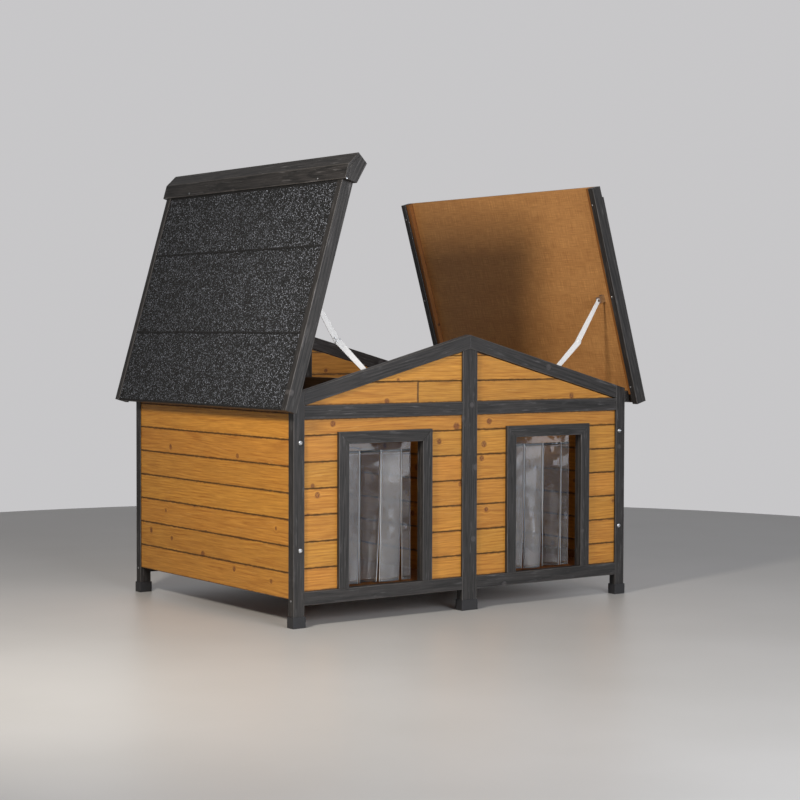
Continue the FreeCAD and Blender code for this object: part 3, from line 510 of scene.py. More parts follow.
# %% [markdown]
# ## Frame timber
# The posts, rails, rafters and roof boards are planed square stock with the arrises just
# taken off. Their shapes, with tenons and sloped heads, are already right in the CAD
# model, so each piece is a copy of its CAD mesh, merged, rounded by 1.2 mm and measured.


# %% Timber from the CAD pieces
HOUSE = "house"


def copy_of(node):
    """A new object with a copy of a CAD piece's mesh."""
    obj = bpy.data.objects.new(node + "_finished", cad[node].data.copy())
    bpy.context.collection.objects.link(obj)
    return obj


def hand_over(obj, material, body, slot, *stands_for):
    """Gives a finished piece its material and its body, and hides the pieces it stands for; slot is not
    used.
    """
    obj.data.materials.clear()
    obj.data.materials.append(material)
    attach(obj, body)
    if stands_for:
        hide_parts(*stands_for)
    return obj


house_timber = sorted(n for n in cad if n.startswith((
    "front_post", "front_lower", "front_mid", "front_raft", "back_corner", "back_post", "back_lower",
    "back_mid", "back_raft", "eave_rail", "divider_rails", "door_frame")))
planed = dict.fromkeys(house_timber, HOUSE)
planed.update(roof_left_frame="roof_left", roof_right_frame="roof_right", ridge_cap="roof_left")
for order, (node_name, body) in enumerate(planed.items()):
    obj = copy_of(node_name)
    ready_boards(obj, 1.2 * MM, 11 + order)
    hand_over(obj, charcoal_pine, body, "charcoal_timber", node_name)

bare = {"side_frame_left": HOUSE, "side_frame_right": HOUSE, "floor_bearers": HOUSE,
        "floor_boards": HOUSE, "roof_left_battens": "roof_left", "roof_right_battens": "roof_right"}
for order, (node_name, body) in enumerate(bare.items()):
    obj = copy_of(node_name)
    ready_boards(obj, 1.0 * MM, 61 + order)
    hand_over(obj, brown_pine, body, "stained_studs", node_name)
print(sum(board_counts.values()), "frame boards")

# %% [markdown]
# ## Planking
# Each wall is a stack of tongued boards that cover 79 mm, with a vee where two meet. A
# stack is one profile swept to a length and repeated, so Geometry Nodes make it: the
# profile face is extruded, closed, and put on a line of points that are shifted by
# tenths of a millimetre, as boards in a real wall are. Plane cuts along the outline of
# the wall then do what the saw does.


# %% A tree that stacks planks
def new_tree(name, sockets):
    """A geometry tree with its named inputs; returns the tree and the group input."""
    tree = bpy.data.node_groups.new(name, "GeometryNodeTree")
    for title, kind, start in sockets:
        socket = tree.interface.new_socket(title, in_out="INPUT", socket_type="NodeSocket" + kind)
        if start is not None:
            socket.default_value = start
    tree.interface.new_socket("Result", in_out="OUTPUT", socket_type="NodeSocketGeometry")
    return tree, put(tree, "NodeGroupInput").outputs


plank_rows, given = new_tree("plank rows", (
    ("Profile", "Geometry", None), ("Length", "Float", 1.0), ("Cover", "Float", 0.079),
    ("Rows", "Int", 7), ("Unevenness", "Float", 0.0002), ("Seed", "Int", 1),
    ("Finish", "Material", None)))
sweep = put(plank_rows, "ShaderNodeCombineXYZ", {"X": given["Length"]}).outputs[0]
swept = put(plank_rows, "GeometryNodeExtrudeMesh", {"Mesh": given["Profile"], "Offset": sweep,
                                                    "Offset Scale": 1.0, "Individual": False},
            mode="FACES").outputs["Mesh"]
start_face = put(plank_rows, "GeometryNodeFlipFaces", {0: given["Profile"]}).outputs[0]
closed = put(plank_rows, "GeometryNodeJoinGeometry", {0: swept})
plank_rows.links.new(start_face, closed.inputs[0])
board = put(plank_rows, "GeometryNodeMergeByDistance", {0: closed.outputs[0]}).outputs[0]
pitch_up = put(plank_rows, "ShaderNodeCombineXYZ", {"Z": given["Cover"]}).outputs[0]
line = put(plank_rows, "GeometryNodeMeshLine", {"Count": given["Rows"], "Offset": pitch_up}).outputs[0]
under = put(plank_rows, "ShaderNodeMath", {0: given["Unevenness"], 1: -1.0},
            operation="MULTIPLY").outputs[0]
lowest = put(plank_rows, "ShaderNodeCombineXYZ", {"Y": under}).outputs[0]
highest = put(plank_rows, "ShaderNodeCombineXYZ", {"Y": given["Unevenness"]}).outputs[0]
jog = put(plank_rows, "FunctionNodeRandomValue", {0: lowest, 1: highest, "Seed": given["Seed"]},
          data_type="FLOAT_VECTOR").outputs[0]
line = put(plank_rows, "GeometryNodeSetPosition", {0: line, "Offset": jog}).outputs[0]
stack = put(plank_rows, "GeometryNodeInstanceOnPoints", {"Points": line, "Instance": board}).outputs[0]
stack = put(plank_rows, "GeometryNodeRealizeInstances", {0: stack}).outputs[0]
stack = put(plank_rows, "GeometryNodeSetMaterial", {0: stack, "Material": given["Finish"]}).outputs[0]
put(plank_rows, "NodeGroupOutput", {0: stack})
print(len(plank_rows.nodes), "nodes stack the planks")

# %% [markdown]
# What a tree makes becomes a plain mesh at once. A stack is then sawn: each side of a
# wall's outline is a plane, all that lies outside it goes, and the cut is closed. A sheet
# or a punch is a prism, an outline that is given a depth.


# %% Run a tree, saw a stack
def make_plain(obj):
    """Turns what an object's modifiers make into its own plain mesh."""
    bpy.context.view_layer.update()
    made = obj.evaluated_get(bpy.context.evaluated_depsgraph_get())
    mesh = bpy.data.meshes.new_from_object(made)
    obj.modifiers.clear()
    obj.data = mesh
    return obj


def run_tree(name, mesh, tree, **values):
    """An object whose mesh goes through a tree, with its inputs set by identifier."""
    obj = bpy.data.objects.new(name, mesh)
    bpy.context.collection.objects.link(obj)
    modifier = obj.modifiers.new(tree.name, "NODES")
    modifier.node_group = tree
    for item in tree.interface.items_tree:
        key = item.name.replace(" ", "_")
        if item.in_out == "INPUT" and key in values:
            modifier[item.identifier] = values[key]
    return make_plain(obj)


def prism(outline, low, high):
    """A solid over an outline of (x, z) points, from y low to y high."""
    bm = bmesh.new()
    rings = [[bm.verts.new((x, y, z)) for x, z in outline] for y in (low, high)]
    for ring in rings:
        bm.faces.new(ring)
    for k in range(len(outline)):
        after = (k + 1) % len(outline)
        bm.faces.new((rings[0][k], rings[0][after], rings[1][after], rings[1][k]))
    bmesh.ops.recalc_face_normals(bm, faces=bm.faces)
    return object_from("prism", bm)


def saw(mesh, outline):
    """A copy of a stack with all outside a convex (x, z) outline sawn off and the cuts closed."""
    bm = bmesh.new()
    bm.from_mesh(mesh)
    for (x0, z0), (x1, z1) in zip(outline, outline[1:] + outline[:1]):
        cut = bmesh.ops.bisect_plane(bm, geom=bm.verts[:] + bm.edges[:] + bm.faces[:], dist=0.001 * MM,
                                     plane_co=(x0, 0, z0), plane_no=(z1 - z0, 0, x0 - x1),
                                     clear_outer=True)["geom_cut"]
        bmesh.ops.edgeloop_fill(bm, edges=[g for g in cut if isinstance(g, bmesh.types.BMEdge)])
    sawn = bpy.data.meshes.new("sawn planks")
    bm.to_mesh(sawn)
    bm.free()
    return sawn


trial = prism([(0, 0), (1, 0), (1, 1), (0, 1)], 0, 1)
print("a cube sawn to a wedge has", len(saw(trial.data, [(0, 0), (1, 0), (0, 1)]).vertices), "corners")
bpy.data.objects.remove(trial)

# %% [markdown]
# The profile is drawn once, with its face side at the lower y: a vee of 1.5 mm, a tongue
# 4 mm thick and 5 mm high, and a groove with half a millimetre to spare.

# %% Plank profile
THICK, COVER, JOINT, VEE = 12 * MM, 79 * MM, 0.3 * MM, 1.5 * MM
TONGUE, TONGUE_HIGH, GROOVE_DEEP = 4 * MM, 5 * MM, 5.5 * MM


def plank_profile(foot):
    """One face in the YZ plane, the plank's section, at x 0 and z foot."""
    top, mid, room = COVER - JOINT, THICK / 2, TONGUE / 2 + JOINT
    outline = [(0, VEE), (VEE, 0), (mid - room, 0), (mid - room, GROOVE_DEEP),
               (mid + room, GROOVE_DEEP), (mid + room, 0), (THICK, 0), (THICK, top),
               (mid + TONGUE / 2, top), (mid + TONGUE / 2, top + TONGUE_HIGH),
               (mid - TONGUE / 2, top + TONGUE_HIGH), (mid - TONGUE / 2, top), (VEE, top),
               (0, top - VEE)]
    mesh = bpy.data.meshes.new("plank profile")
    bm = bmesh.new()
    bm.faces.new([bm.verts.new((0, y, z + foot)) for y, z in outline])
    bm.to_mesh(mesh)
    bm.free()
    return mesh


TURNS = {"front": 0, "left": -90, "right": 90, "back": 180, "divider": 90}


def plank_wall(name, wall, reach, face, foot, outlines, seed, *stands_for):
    """Stacks planks over reach, as far out as face, saws them and turns them to their wall."""
    tallest = max(z for outline in outlines for _, z in outline)
    rows = math.ceil((tallest - foot) / COVER)
    stack = run_tree(name, plank_profile(foot), plank_rows, Length=reach[1] - reach[0], Rows=rows,
                     Cover=COVER, Seed=seed, Unevenness=0.2 * MM, Finish=golden_pine)
    stack.data.transform(Matrix.Translation((reach[0], -face, 0)))
    bm = bmesh.new()
    for outline in outlines:
        bm.from_mesh(saw(stack.data, outline))
    bpy.data.objects.remove(stack)
    obj = object_from(name, bm)
    obj.data.transform(Matrix.Rotation(math.radians(TURNS[wall]), 4, "Z"))
    ready_boards(obj, 0, seed)
    return hand_over(obj, golden_pine, HOUSE, "stained_planks", *stands_for)


print("a plank's section has", len(plank_profile(0).vertices), "corners")

# %% [markdown]
# Each wall's outline comes from the box of its CAD piece. The front bays are cut round
# the doorway, the gables along the underside of the rafters. Seams lie whole covers above
# a wall's foot height, so those of the front are where the photograph has them. Boards
# end in a groove of the middle post, and one board of the left gable is pieced together.

# %% Walls
FRONT_FOOT, SIDE_FOOT, GABLE_DROP = 96 * MM, 84 * MM, 12 * MM
DOOR_HALF, DOOR_HEAD, FIRST_WHOLE = 150 * MM, 553 * MM, 570 * MM
GROOVE_END, PIECED = 21.3 * MM, -199 * MM
SLOPE = math.tan(math.radians(15))


def rectangle(x0, x1, z0, z1):
    """Corners of an upright rectangle, as (x, z)."""
    return [(x0, z0), (x1, z0), (x1, z1), (x0, z1)]


for side, way in (("left", -1), ("right", 1)):
    low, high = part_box("front_planks_" + side)
    door_low, door_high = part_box("door_frame_" + side)
    door_x = (door_low.x + door_high.x) / 2
    jambs = (door_x - DOOR_HALF, door_x + DOOR_HALF)
    bay = [rectangle(low.x, jambs[0], low.z, FIRST_WHOLE), rectangle(jambs[1], high.x, low.z, FIRST_WHOLE),
           rectangle(*jambs, DOOR_HEAD, FIRST_WHOLE), rectangle(low.x, high.x, FIRST_WHOLE, high.z)]
    plank_wall("planking_front_" + side, "front", (low.x, high.x), -low.y, FRONT_FOOT, bay,
               7 + way, "front_planks_" + side)
    low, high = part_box("side_planks_" + side)
    plank_wall("planking_side_" + side, side, (low.y, high.y), max(abs(low.x), abs(high.x)), SIDE_FOOT,
               [rectangle(low.y, high.y, low.z, high.z)], 17 + way, "side_planks_" + side)

low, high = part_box("back_planks")
halves = [rectangle(low.x, -GROOVE_END, low.z, high.z), rectangle(GROOVE_END, high.x, low.z, high.z)]
plank_wall("planking_back", "back", (low.x, high.x), high.y, FRONT_FOOT, halves, 23, "back_planks")
for wall, seed in (("front", 29), ("back", 31)):
    low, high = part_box(wall + "_gable_planks")
    inner, foot = GROOVE_END, low.z - GABLE_DROP
    outer = inner + (high.z - low.z) / SLOPE
    seam = foot + COVER
    sides = [[(inner, low.z), (outer, low.z), (inner, high.z)],
             [(-outer, low.z), (-inner, low.z), (-inner, high.z)]]
    if wall == "front":
        at_seam = outer - (seam - low.z) / SLOPE
        sides[1:] = [[(-outer, low.z), (PIECED, low.z), (PIECED, seam), (-at_seam, seam)],
                     rectangle(PIECED + JOINT, -inner, low.z, seam),
                     [(-at_seam, seam), (-inner, seam), (-inner, high.z)]]
    plank_wall("planking_gable_" + wall, wall, (low.x, high.x), -low.y if wall == "front" else high.y,
               foot, sides, seed, wall + "_gable_planks")
low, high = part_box("divider_planks")
plank_wall("planking_divider", "divider", (low.y, high.y), high.x, SIDE_FOOT,
           [rectangle(low.y, high.y, low.z, high.z)], 37, "divider_planks")
print(sum(count for name, count in board_counts.items() if name.startswith("planking")), "planks")

# %% [markdown]
# ## Plywood
# The roof decks are 9 mm plywood with a brown stain on the underside. Rotary-cut veneer
# shows broad, soft figure and a fine hatch of pores and sanding marks, so the pattern is
# a stretched noise in each direction. Real pores are tenths of a millimetre wide; here
# the strokes are about 2.5 mm wide and 50 mm long, so that they show.

# %% Plywood material and decks
plywood, tree, shader = blank("brown stained plywood")
where = put(tree, "ShaderNodeAttribute", attribute_name="place").outputs["Vector"]
figure = stretched_noise(tree, where, (3.0, 14.0, 1.0), Detail=4.0, Distortion=0.6)[0]
hatch = [stretched_noise(tree, where, stretch, Detail=2.0)[0]
         for stretch in ((18.0, 400.0, 1.0), (360.0, 20.0, 1.0))]
pores = put(tree, "ShaderNodeMath", {0: hatch[0], 1: hatch[1]}, operation="MULTIPLY").outputs[0]
share = put(tree, "ShaderNodeMapRange", {0: pores, 1: 0.12, 2: 0.42}).outputs[0]
tone = put(tree, "ShaderNodeMix", {0: share, 6: srgb("#b8824c"), 7: srgb("#e0a968")},
           data_type="RGBA").outputs[2]
veneer = put(tree, "ShaderNodeMix", {0: figure, 6: srgb("#d9cfc4"), 7: srgb("#ffffff")},
             data_type="RGBA").outputs[2]
tone = put(tree, "ShaderNodeMix", {0: 1.0, 6: tone, 7: veneer}, data_type="RGBA",
           blend_type="MULTIPLY").outputs[2]
bump = put(tree, "ShaderNodeBump", {"Height": pores, "Strength": 0.4, "Distance": 0.3 * MM})
feed(tree, shader, {"Base Color": tone, "Roughness": 0.55, "Normal": bump.outputs[0]})
for side in ("left", "right"):
    obj = copy_of("roof_%s_deck" % side)
    ready_boards(obj, 0.6 * MM, 71)
    hand_over(obj, plywood, "roof_" + side, "plywood", "roof_%s_deck" % side)
print("plywood decks")

# %% [markdown]
# ## Mineral felt
# The roof is covered with three lapped courses of bitumen felt, pressed full of crushed
# slate. Granules are about 1 mm; here each cell of the pattern is 2.4 mm wide, nearly a
# pixel of the picture, so that the salt-and-pepper look survives. A few cells are nearly
# white and sparkle, most are blue-black. A black band is painted along the edges of each
# course: it is painted shadow under each lap, together with the bare bitumen of the cut edge.

# %% Felt material and courses
GRANULE = 2.4 * MM
felt, tree, shader = blank("mineral felt")
where = put(tree, "ShaderNodeTexCoord").outputs["Object"]
grit = put(tree, "ShaderNodeTexVoronoi", {"Vector": where, "Scale": 1 / GRANULE}).outputs
chips = put(tree, "ShaderNodeSeparateColor", {0: grit["Color"]}).outputs
tone = put(tree, "ShaderNodeValToRGB", {0: chips[0]})
ramp = tone.color_ramp.elements
ramp[0].color, ramp[1].color = srgb("#020303"), srgb("#9aa0ac")
for spot_at, code in ((0.4, "#030404"), (0.68, "#090a0c"), (0.86, "#272a30")):
    ramp.new(spot_at).color = srgb(code)
drift = put(tree, "ShaderNodeTexNoise", {"Vector": where, "Scale": 9.0, "Detail": 3.0}).outputs[0]
drift = put(tree, "ShaderNodeMapRange", {0: drift, 3: 0.8, 4: 1.25}).outputs[0]
colour = put(tree, "ShaderNodeHueSaturation", {"Value": drift, "Color": tone.outputs[0]}).outputs[0]
# black band along the long edges of each course: painted shadow under the lap, with the bare bitumen edge
edge = put(tree, "ShaderNodeMapRange", {0: to_faces(tree)[1], 1: 5.0 * MM, 2: 7.5 * MM, 3: 0.95,
                                        4: 0.0}).outputs[0]
colour = put(tree, "ShaderNodeMix", {0: edge, 6: colour, 7: srgb("#050506")},
             data_type="RGBA").outputs[2]
matt = put(tree, "ShaderNodeMapRange", {0: chips[1], 3: 0.55, 4: 0.95}).outputs[0]
swell = put(tree, "ShaderNodeTexNoise", {"Vector": where, "Scale": 7.0, "Detail": 1.0}).outputs[0]
height = put(tree, "ShaderNodeMath", {0: swell, 1: 3.0, 2: grit["Distance"]},
             operation="MULTIPLY_ADD").outputs[0]
bump = put(tree, "ShaderNodeBump", {"Height": height, "Strength": 0.6, "Distance": 1.2 * MM})
feed(tree, shader, {"Base Color": colour, "Roughness": matt, "Normal": bump.outputs[0]})
for side in ("left", "right"):
    obj = copy_of("roof_%s_felt" % side)
    ready_boards(obj, 0.5 * MM, 73, whole=True)
    hand_over(obj, felt, "roof_" + side, "mineral_felt", "roof_%s_felt" % side)
print("felt courses")

# %% [markdown]
# ## Moulded foot caps
# Each leg stands in a black polyethylene cap. Injection moulding leaves a faint
# spark-eroded texture and soft corners, and the plastic mirrors the floor a little. The
# same recipe, one fine cloud in the colour, the gloss and the relief, serves the metals.

# %% Speckled finishes and foot caps
def speckled(name, scale, detail, dark, light, matt_low, matt_high, strength, depth, metallic=0.0):
    """A finish with one fine noise in its colour, its roughness and its relief."""
    material, tree, shader = blank(name)
    where = put(tree, "ShaderNodeTexCoord").outputs["Object"]
    cloud = put(tree, "ShaderNodeTexNoise", {"Vector": where, "Scale": scale, "Detail": detail}).outputs[0]
    tone = put(tree, "ShaderNodeMix", {0: cloud, 6: srgb(dark), 7: srgb(light)},
               data_type="RGBA").outputs[2]
    matt = put(tree, "ShaderNodeMapRange", {0: cloud, 3: matt_low, 4: matt_high}).outputs[0]
    bump = put(tree, "ShaderNodeBump", {"Height": cloud, "Strength": strength, "Distance": depth})
    feed(tree, shader, {"Base Color": tone, "Metallic": metallic, "Roughness": matt,
                        "Normal": bump.outputs[0]})
    return material


moulded = speckled("moulded black polyethylene", 350.0, 2.0, "#1e1e20", "#303033", 0.35, 0.55,
                   0.3, 0.2 * MM)
obj = copy_of("foot_caps")
ready_boards(obj, 1.5 * MM, 79)
hand_over(obj, moulded, HOUSE, "black_plastic", "foot_caps")
print(board_counts[obj.name], "foot caps")

# %% [markdown]
# ## Metal
# Two finishes: zinc-plated steel for bolts, screws and hinges, bright with a cloudy
# passivation, and white powder coat on the pressed stays, which is soft and slightly
# pebbled.

# %% Metals and coated steel
zinc = speckled("zinc plated steel", 260.0, 3.0, "#b9bcc0", "#e6e8ea", 0.22, 0.42,
                0.15, 0.1 * MM, metallic=1.0)
coated = speckled("white powder-coated steel", 420.0, 1.0, "#dcdad8", "#f2f1ee", 0.3, 0.42,
                  0.2, 0.15 * MM)
metal = {"hinge_wall_leaves": (HOUSE, zinc), "hinge_pins": (HOUSE, zinc),
         "roof_left_hinge_leaves": ("roof_left", zinc), "roof_right_hinge_leaves": ("roof_right", zinc),
         "stay_wall_brackets": (HOUSE, zinc), "stay_wall_pins": (HOUSE, zinc)}
for side in ("left", "right"):
    metal["roof_%s_stay_bracket" % side] = ("roof_" + side, zinc)
    metal["stay_%s_lower_arm" % side] = ("stay_%s_lower" % side, coated)
    metal["stay_%s_upper_arm" % side] = ("stay_%s_upper" % side, coated)
for node_name, (body, finish) in metal.items():
    obj = copy_of(node_name)
    bm = bmesh.new()
    bm.from_mesh(obj.data)
    bmesh.ops.remove_doubles(bm, verts=bm.verts, dist=DOUBLES)
    bmesh.ops.dissolve_limit(bm, angle_limit=0.01, verts=bm.verts, edges=bm.edges)
    sharp = [e for e in bm.edges if len(e.link_faces) == 2 and e.calc_face_angle(0) > 0.9]
    bmesh.ops.bevel(bm, geom=sharp, offset=0.25 * MM, segments=2, affect="EDGES", profile=0.5,
                    clamp_overlap=True)
    bm.to_mesh(obj.data)
    bm.free()
    hand_over(obj, finish, body, "zinc_steel" if finish is zinc else "white_steel", node_name)
print(len(metal), "metal pieces")

# %% [markdown]
# ## Clear door strips
# Each doorway is closed by hanging strips of clear PVC, slit from one sheet. The sheet
# came off a roll, so every strip curls round its own length, more towards its free end,
# and the slits open downward. A strip is a grid bent on an arc whose angle grows on the
# way down; Solidify gives it 1.2 mm.

# %% PVC material and strips
def vinyl(name, clearness, haze_low, haze_high):
    """Soft PVC sheet; clearness is the share of light that passes."""
    material, tree, shader = blank(name)
    where = put(tree, "ShaderNodeTexCoord").outputs["Object"]
    ripple = put(tree, "ShaderNodeTexNoise", {"Vector": where, "Scale": 10.0, "Detail": 1.5}).outputs[0]
    scratch = stretched_noise(tree, where, (160.0, 1.0, 14.0), Detail=3.0)[0]
    haze = put(tree, "ShaderNodeMapRange", {0: scratch, 1: 0.4, 2: 0.75, 3: haze_low,
                                            4: haze_high}).outputs[0]
    # along the long edges less light passes and the pale tone shows: a painted highlight on the strip edges
    rim = put(tree, "ShaderNodeAttribute", attribute_name="rim").outputs["Fac"]
    rim = put(tree, "ShaderNodeMapRange", {0: rim, 1: 0.72, 2: 0.95, 3: 0.0, 4: 0.75}).outputs[0]
    tone = put(tree, "ShaderNodeMix", {0: ripple, 6: srgb("#c9cbce"), 7: srgb("#eceef0")},
               data_type="RGBA").outputs[2]
    passed = put(tree, "ShaderNodeMath", {0: 1.0, 1: rim}, operation="SUBTRACT").outputs[0]
    passed = put(tree, "ShaderNodeMath", {0: passed, 1: clearness}, operation="MULTIPLY").outputs[0]
    bump = put(tree, "ShaderNodeBump", {"Height": ripple, "Strength": 0.8, "Distance": 9 * MM})
    feed(tree, shader, {"Base Color": tone, "Roughness": haze, "Transmission Weight": passed,
                        "IOR": 1.53, "Normal": bump.outputs[0]})
    return material


# New soft PVC: clear as water, so the dark room shows through and the lamps mirror in it.
pvc = vinyl("clear PVC", 0.96, 0.03, 0.12)
# The same sheet, rougher and less clear: its grey haze is a painted reflection on some strips.
painted_reflection_pvc = vinyl("PVC with painted reflection", 0.84, 0.08, 0.25)


SHEET, ACROSS, DOWN = 1.2 * MM, 12, 30


def bent_strip(name, low, high, curl, drift, way):
    """A strip that hangs from z high and curls by curl (radians) at its foot."""
    wide, tall = high.x - low.x, high.z - low.z
    plane, middle = (low.y + high.y) / 2, (low.x + high.x) / 2
    bm = bmesh.new()
    rim = bm.verts.layers.float.new("rim")
    grid = []
    for j in range(DOWN + 1):
        down = j / DOWN
        angle = max(curl * down ** 1.4, 0.02)
        row = []
        for i in range(ACROSS + 1):
            s = 2 * i / ACROSS - 1
            x = wide / 2 * math.sin(angle * s) / angle
            y = wide / 2 * (math.cos(angle * s) - math.cos(angle)) / angle
            row.append(bm.verts.new((middle + x + drift * down ** 2, plane + way * y, high.z - down * tall)))
        # the outer columns carry rim, where the PVC paints a highlight along the strip edges
        row[0][rim] = row[-1][rim] = 1.0
        grid.append(row)
    for upper, lower in zip(grid, grid[1:]):
        for i in range(ACROSS):
            bm.faces.new((upper[i], lower[i], lower[i + 1], upper[i + 1])).smooth = True
    obj = object_from(name, bm)
    shell = obj.modifiers.new("thickness", "SOLIDIFY")
    shell.thickness, shell.offset = SHEET, 0.0
    return make_plain(obj)


# curl at the foot in radians, drift of the foot in metres, and the way it bulges
strip_bend = {"left": ((0.45, -0.002, 1), (1.15, -0.006, 1), (0.5, -0.007, -1), (0.3, 0.002, 1)),
              "right": ((0.5, -0.006, 1), (0.8, -0.005, -1), (0.7, -0.004, 1), (0.35, -0.002, 1))}
# strips that take the PVC with the painted grey reflection
PAINTED_REFLECTION_STRIPS = {"left": (1, 3), "right": (1, 2)}
for side, bends in strip_bend.items():
    for k, (curl, drift, way) in enumerate(bends, start=1):
        node_name = "flap_%s_%d" % (side, k)
        low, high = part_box(node_name)
        obj = bent_strip("door_strip_%s_%d" % (side, k), low, high, curl, drift, way)
        hand_over(obj, painted_reflection_pvc if k in PAINTED_REFLECTION_STRIPS[side] else pvc, node_name, "clear_vinyl", node_name)
print(sum(len(bends) for bends in strip_bend.values()), "strips")

# %% [markdown]
# The uncut band at the top of the sheet is screwed to the back of the door head. Every
# slit ends in a punched hole, which stops it from tearing further.

# %% Bands above the slits
PUNCH, ABOVE = 2 * MM, 2.2 * MM
low_all, high_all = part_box("curtain_headers")
bands = bmesh.new()
for side in ("left", "right"):
    boxes = [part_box("flap_%s_%d" % (side, k)) for k in (1, 2, 3, 4)]
    x0, x1 = boxes[0][0].x, boxes[3][1].x
    band = prism(rectangle(x0, x1, low_all.z, high_all.z), low_all.y + 0.4 * MM, high_all.y - 0.4 * MM)
    for left_box, right_box in zip(boxes, boxes[1:]):
        slit = (left_box[1].x + right_box[0].x) / 2
        ring = [(slit + PUNCH * math.cos(a), low_all.z + ABOVE + PUNCH * math.sin(a))
                for a in np.linspace(0, 2 * math.pi, 17)[:-1]]
        punch = prism(ring, low_all.y - 0.01, high_all.y + 0.01)
        cut = band.modifiers.new("punch", "BOOLEAN")
        cut.operation, cut.solver, cut.object = "DIFFERENCE", "EXACT", punch
        make_plain(band)
        bpy.data.objects.remove(punch)
    bands.from_mesh(band.data)
    bpy.data.objects.remove(band)
hand_over(object_from("door_strip_bands", bands), pvc, HOUSE, "clear_vinyl", "curtain_headers")
print("two bands")

# %% [markdown]
# ## Bolts and screws
# The side walls are bolted through the front posts with socket-head bolts, and small
# screws hold the ridge cap, the roof boards and the lower rails. Three rivets sit near
# the knee of the left stay. All of one kind are the same head on many points, so one head
# is modelled and Geometry Nodes put it on points that know which way they face, each with
# its own random turn.


# %% Heads on points
heads_on_points, given = new_tree("heads on points", (
    ("Points", "Geometry", None), ("Head", "Object", None), ("Size", "Float", 1.0),
    ("Seed", "Int", 5), ("Finish", "Material", None)))
facing = put(heads_on_points, "GeometryNodeInputNamedAttribute", {"Name": "facing"},
             data_type="FLOAT_VECTOR").outputs["Attribute"]
upright = put(heads_on_points, "FunctionNodeAlignRotationToVector", {"Vector": facing},
              axis="Z").outputs[0]
spin = put(heads_on_points, "FunctionNodeRandomValue", {2: 0.0, 3: 6.283, "Seed": given["Seed"]},
           data_type="FLOAT").outputs[1]
spin = put(heads_on_points, "FunctionNodeAxisAngleToRotation",
           {"Axis": (0, 0, 1), "Angle": spin}).outputs[0]
turned = put(heads_on_points, "FunctionNodeRotateRotation", {0: upright, 1: spin},
             rotation_space="LOCAL").outputs[0]
model = put(heads_on_points, "GeometryNodeObjectInfo", {0: given["Head"]}).outputs["Geometry"]
dotted = put(heads_on_points, "GeometryNodeMeshToPoints", {0: given["Points"]}).outputs[0]
set_out = put(heads_on_points, "GeometryNodeInstanceOnPoints",
              {"Points": dotted, "Instance": model, "Rotation": turned, "Scale": given["Size"]}).outputs[0]
set_out = put(heads_on_points, "GeometryNodeRealizeInstances", {0: set_out}).outputs[0]
set_out = put(heads_on_points, "GeometryNodeSetMaterial",
              {0: set_out, "Material": given["Finish"]}).outputs[0]
put(heads_on_points, "NodeGroupOutput", {0: set_out})
print(len(heads_on_points.nodes), "nodes set heads on points")

# %% [markdown]
# A head is turned like on a lathe, from rings of a radius and a height in millimetres:
# flat underside, domed top and, from one ring on, a socket whose rings are hexagons.


# %% Turned heads
def turned_head(name, rings, corners, socket):
    """A head turned from (radius, height) rings; from ring number socket on they are hexagons."""
    bm = bmesh.new()
    loops = []
    for k, (radius, height) in enumerate(rings):
        loop = []
        for i in range(corners):
            a = 2 * math.pi * i / corners
            r = radius
            if k >= socket:
                off = (a % (math.pi / 3)) - math.pi / 6
                r = radius * math.cos(math.pi / 6) / math.cos(off)
            loop.append(bm.verts.new((r * math.cos(a) * MM, r * math.sin(a) * MM, height * MM)))
        loops.append(loop)
    for lower, upper in zip(loops, loops[1:]):
        for i in range(corners):
            after = (i + 1) % corners
            bm.faces.new((lower[i], lower[after], upper[after], upper[i]))
    bm.faces.new(loops[-1])
    bm.faces.new(reversed(loops[0]))
    return object_from(name, bm)


bolt_head = turned_head("socket head", (
    (7.0, -0.2), (7.0, 0.6), (6.5, 1.7), (5.4, 2.6), (4.0, 3.0), (3.2, 3.1), (2.9, 2.9), (2.8, 1.0)),
    corners=24, socket=5)
screw_head = turned_head("screw head", (
    (3.6, -0.3), (3.6, 0.1), (3.0, 0.5), (1.6, 0.6), (1.1, 0.5), (0.9, -0.2)), corners=16, socket=4)


def fixings(name, head, places, body, size=1.0, seed=5):
    """Puts a head on every (place, facing) pair as one piece."""
    mesh = bpy.data.meshes.new(name)
    mesh.from_pydata([place for place, _ in places], [], [])
    layer = mesh.attributes.new("facing", "FLOAT_VECTOR", "POINT")
    layer.data.foreach_set("vector", [c for _, way in places for c in way])
    obj = run_tree(name, mesh, heads_on_points, Head=head, Size=size, Seed=seed, Finish=zinc)
    return hand_over(obj, zinc, body, "zinc_steel")


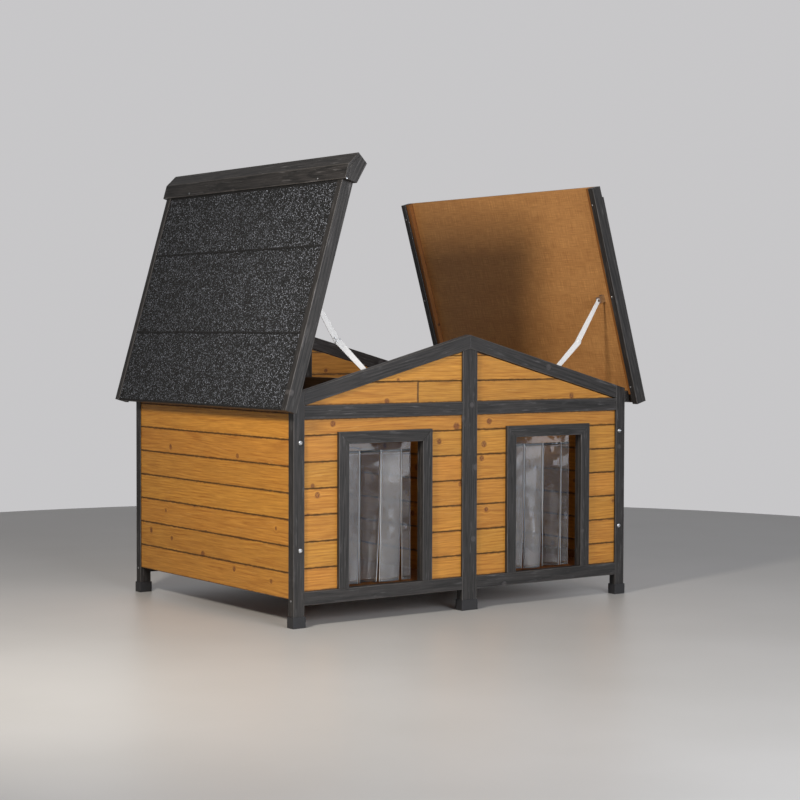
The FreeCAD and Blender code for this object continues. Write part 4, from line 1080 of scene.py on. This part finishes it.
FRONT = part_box("front_post_left")[0].y
BOLT_X, BOLT_HEIGHTS = 0.636, (0.5495, 0.2305)
RAIL_X, RAIL_Y, RAIL_Z = 0.660, 0.474, 0.081
bolts = [((x, FRONT, z), (0, -1, 0)) for x in (-BOLT_X, BOLT_X) for z in BOLT_HEIGHTS]
fixings("side_wall_bolts", bolt_head, bolts, HOUSE)
rail_screws = [((x, y, RAIL_Z), (x, 0, 0)) for x in (-RAIL_X, RAIL_X) for y in (-RAIL_Y, RAIL_Y)]
fixings("lower_rail_screws", screw_head, rail_screws, HOUSE, 0.9)
print(len(bolts), "bolts and", len(rail_screws), "rail screws")

# %% [markdown]
# Places on a roof panel are given as on the bench, in millimetres: so far up the slope
# from its lower edge, so far from front to back, and so far out from its underside. One
# function turns them to the open panel, round the hinge pin.


# %% Fixings of the roof panels
HINGE_X, HINGE_Z, LEAN = 0.685, 0.678807, math.radians(73.7)
PIN_UP, PIN_OUT = 37.4, 18.3
BOARD_SCREWS, CAP_SCREWS = [(up, y) for up in (60, 371, 684) for y in (-513, 518)], (-401, 374)
CAP_END = (-0.5147, -0.551, 1.3294)
RIVETS, RIVET_Y = ((-0.4861, 0.8495), (-0.4753, 0.8555), (-0.4934, 0.8585)), -0.4592


def panel_way(side, up, y, out):
    """Direction on an open panel, from its own axes."""
    x = -up * math.cos(LEAN) + out * math.sin(LEAN)
    return Vector((x if side == "right" else -x, y, up * math.sin(LEAN) + out * math.cos(LEAN)))


def on_panel(side, up, y, out):
    """Point of an open roof panel, from its own measures in millimetres."""
    pin = Vector((HINGE_X if side == "right" else -HINGE_X, 0, HINGE_Z))
    return pin + panel_way(side, up - PIN_UP, y, out - PIN_OUT) * MM


for side in ("left", "right"):
    spots = [(on_panel(side, up, y, -0.2), panel_way(side, 0, 0, -1)) for up, y in BOARD_SCREWS]
    fixings("roof_board_screws_" + side, screw_head, spots, "roof_" + side, 0.9, 7)
spots = [(on_panel("left", 716, y, 44), panel_way("left", 0, 0, 1)) for y in CAP_SCREWS]
spots.append((CAP_END, (0, -1, 0)))
fixings("ridge_cap_screws", screw_head, spots, "roof_left", 0.9, 9)
spots = [((x, RIVET_Y, z), (0, -1, 0)) for x, z in RIVETS]
fixings("stay_left_rivets", screw_head, spots, "stay_left_upper", 0.8, 11)
bpy.data.objects.remove(bolt_head)
bpy.data.objects.remove(screw_head)
print("bolts and screws in place")

# %% Sizes
size_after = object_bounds()
lengths = [round(b - a, 4) for a, b in zip(*size_after)]
print("size", lengths, "boards", sum(board_counts.values()))
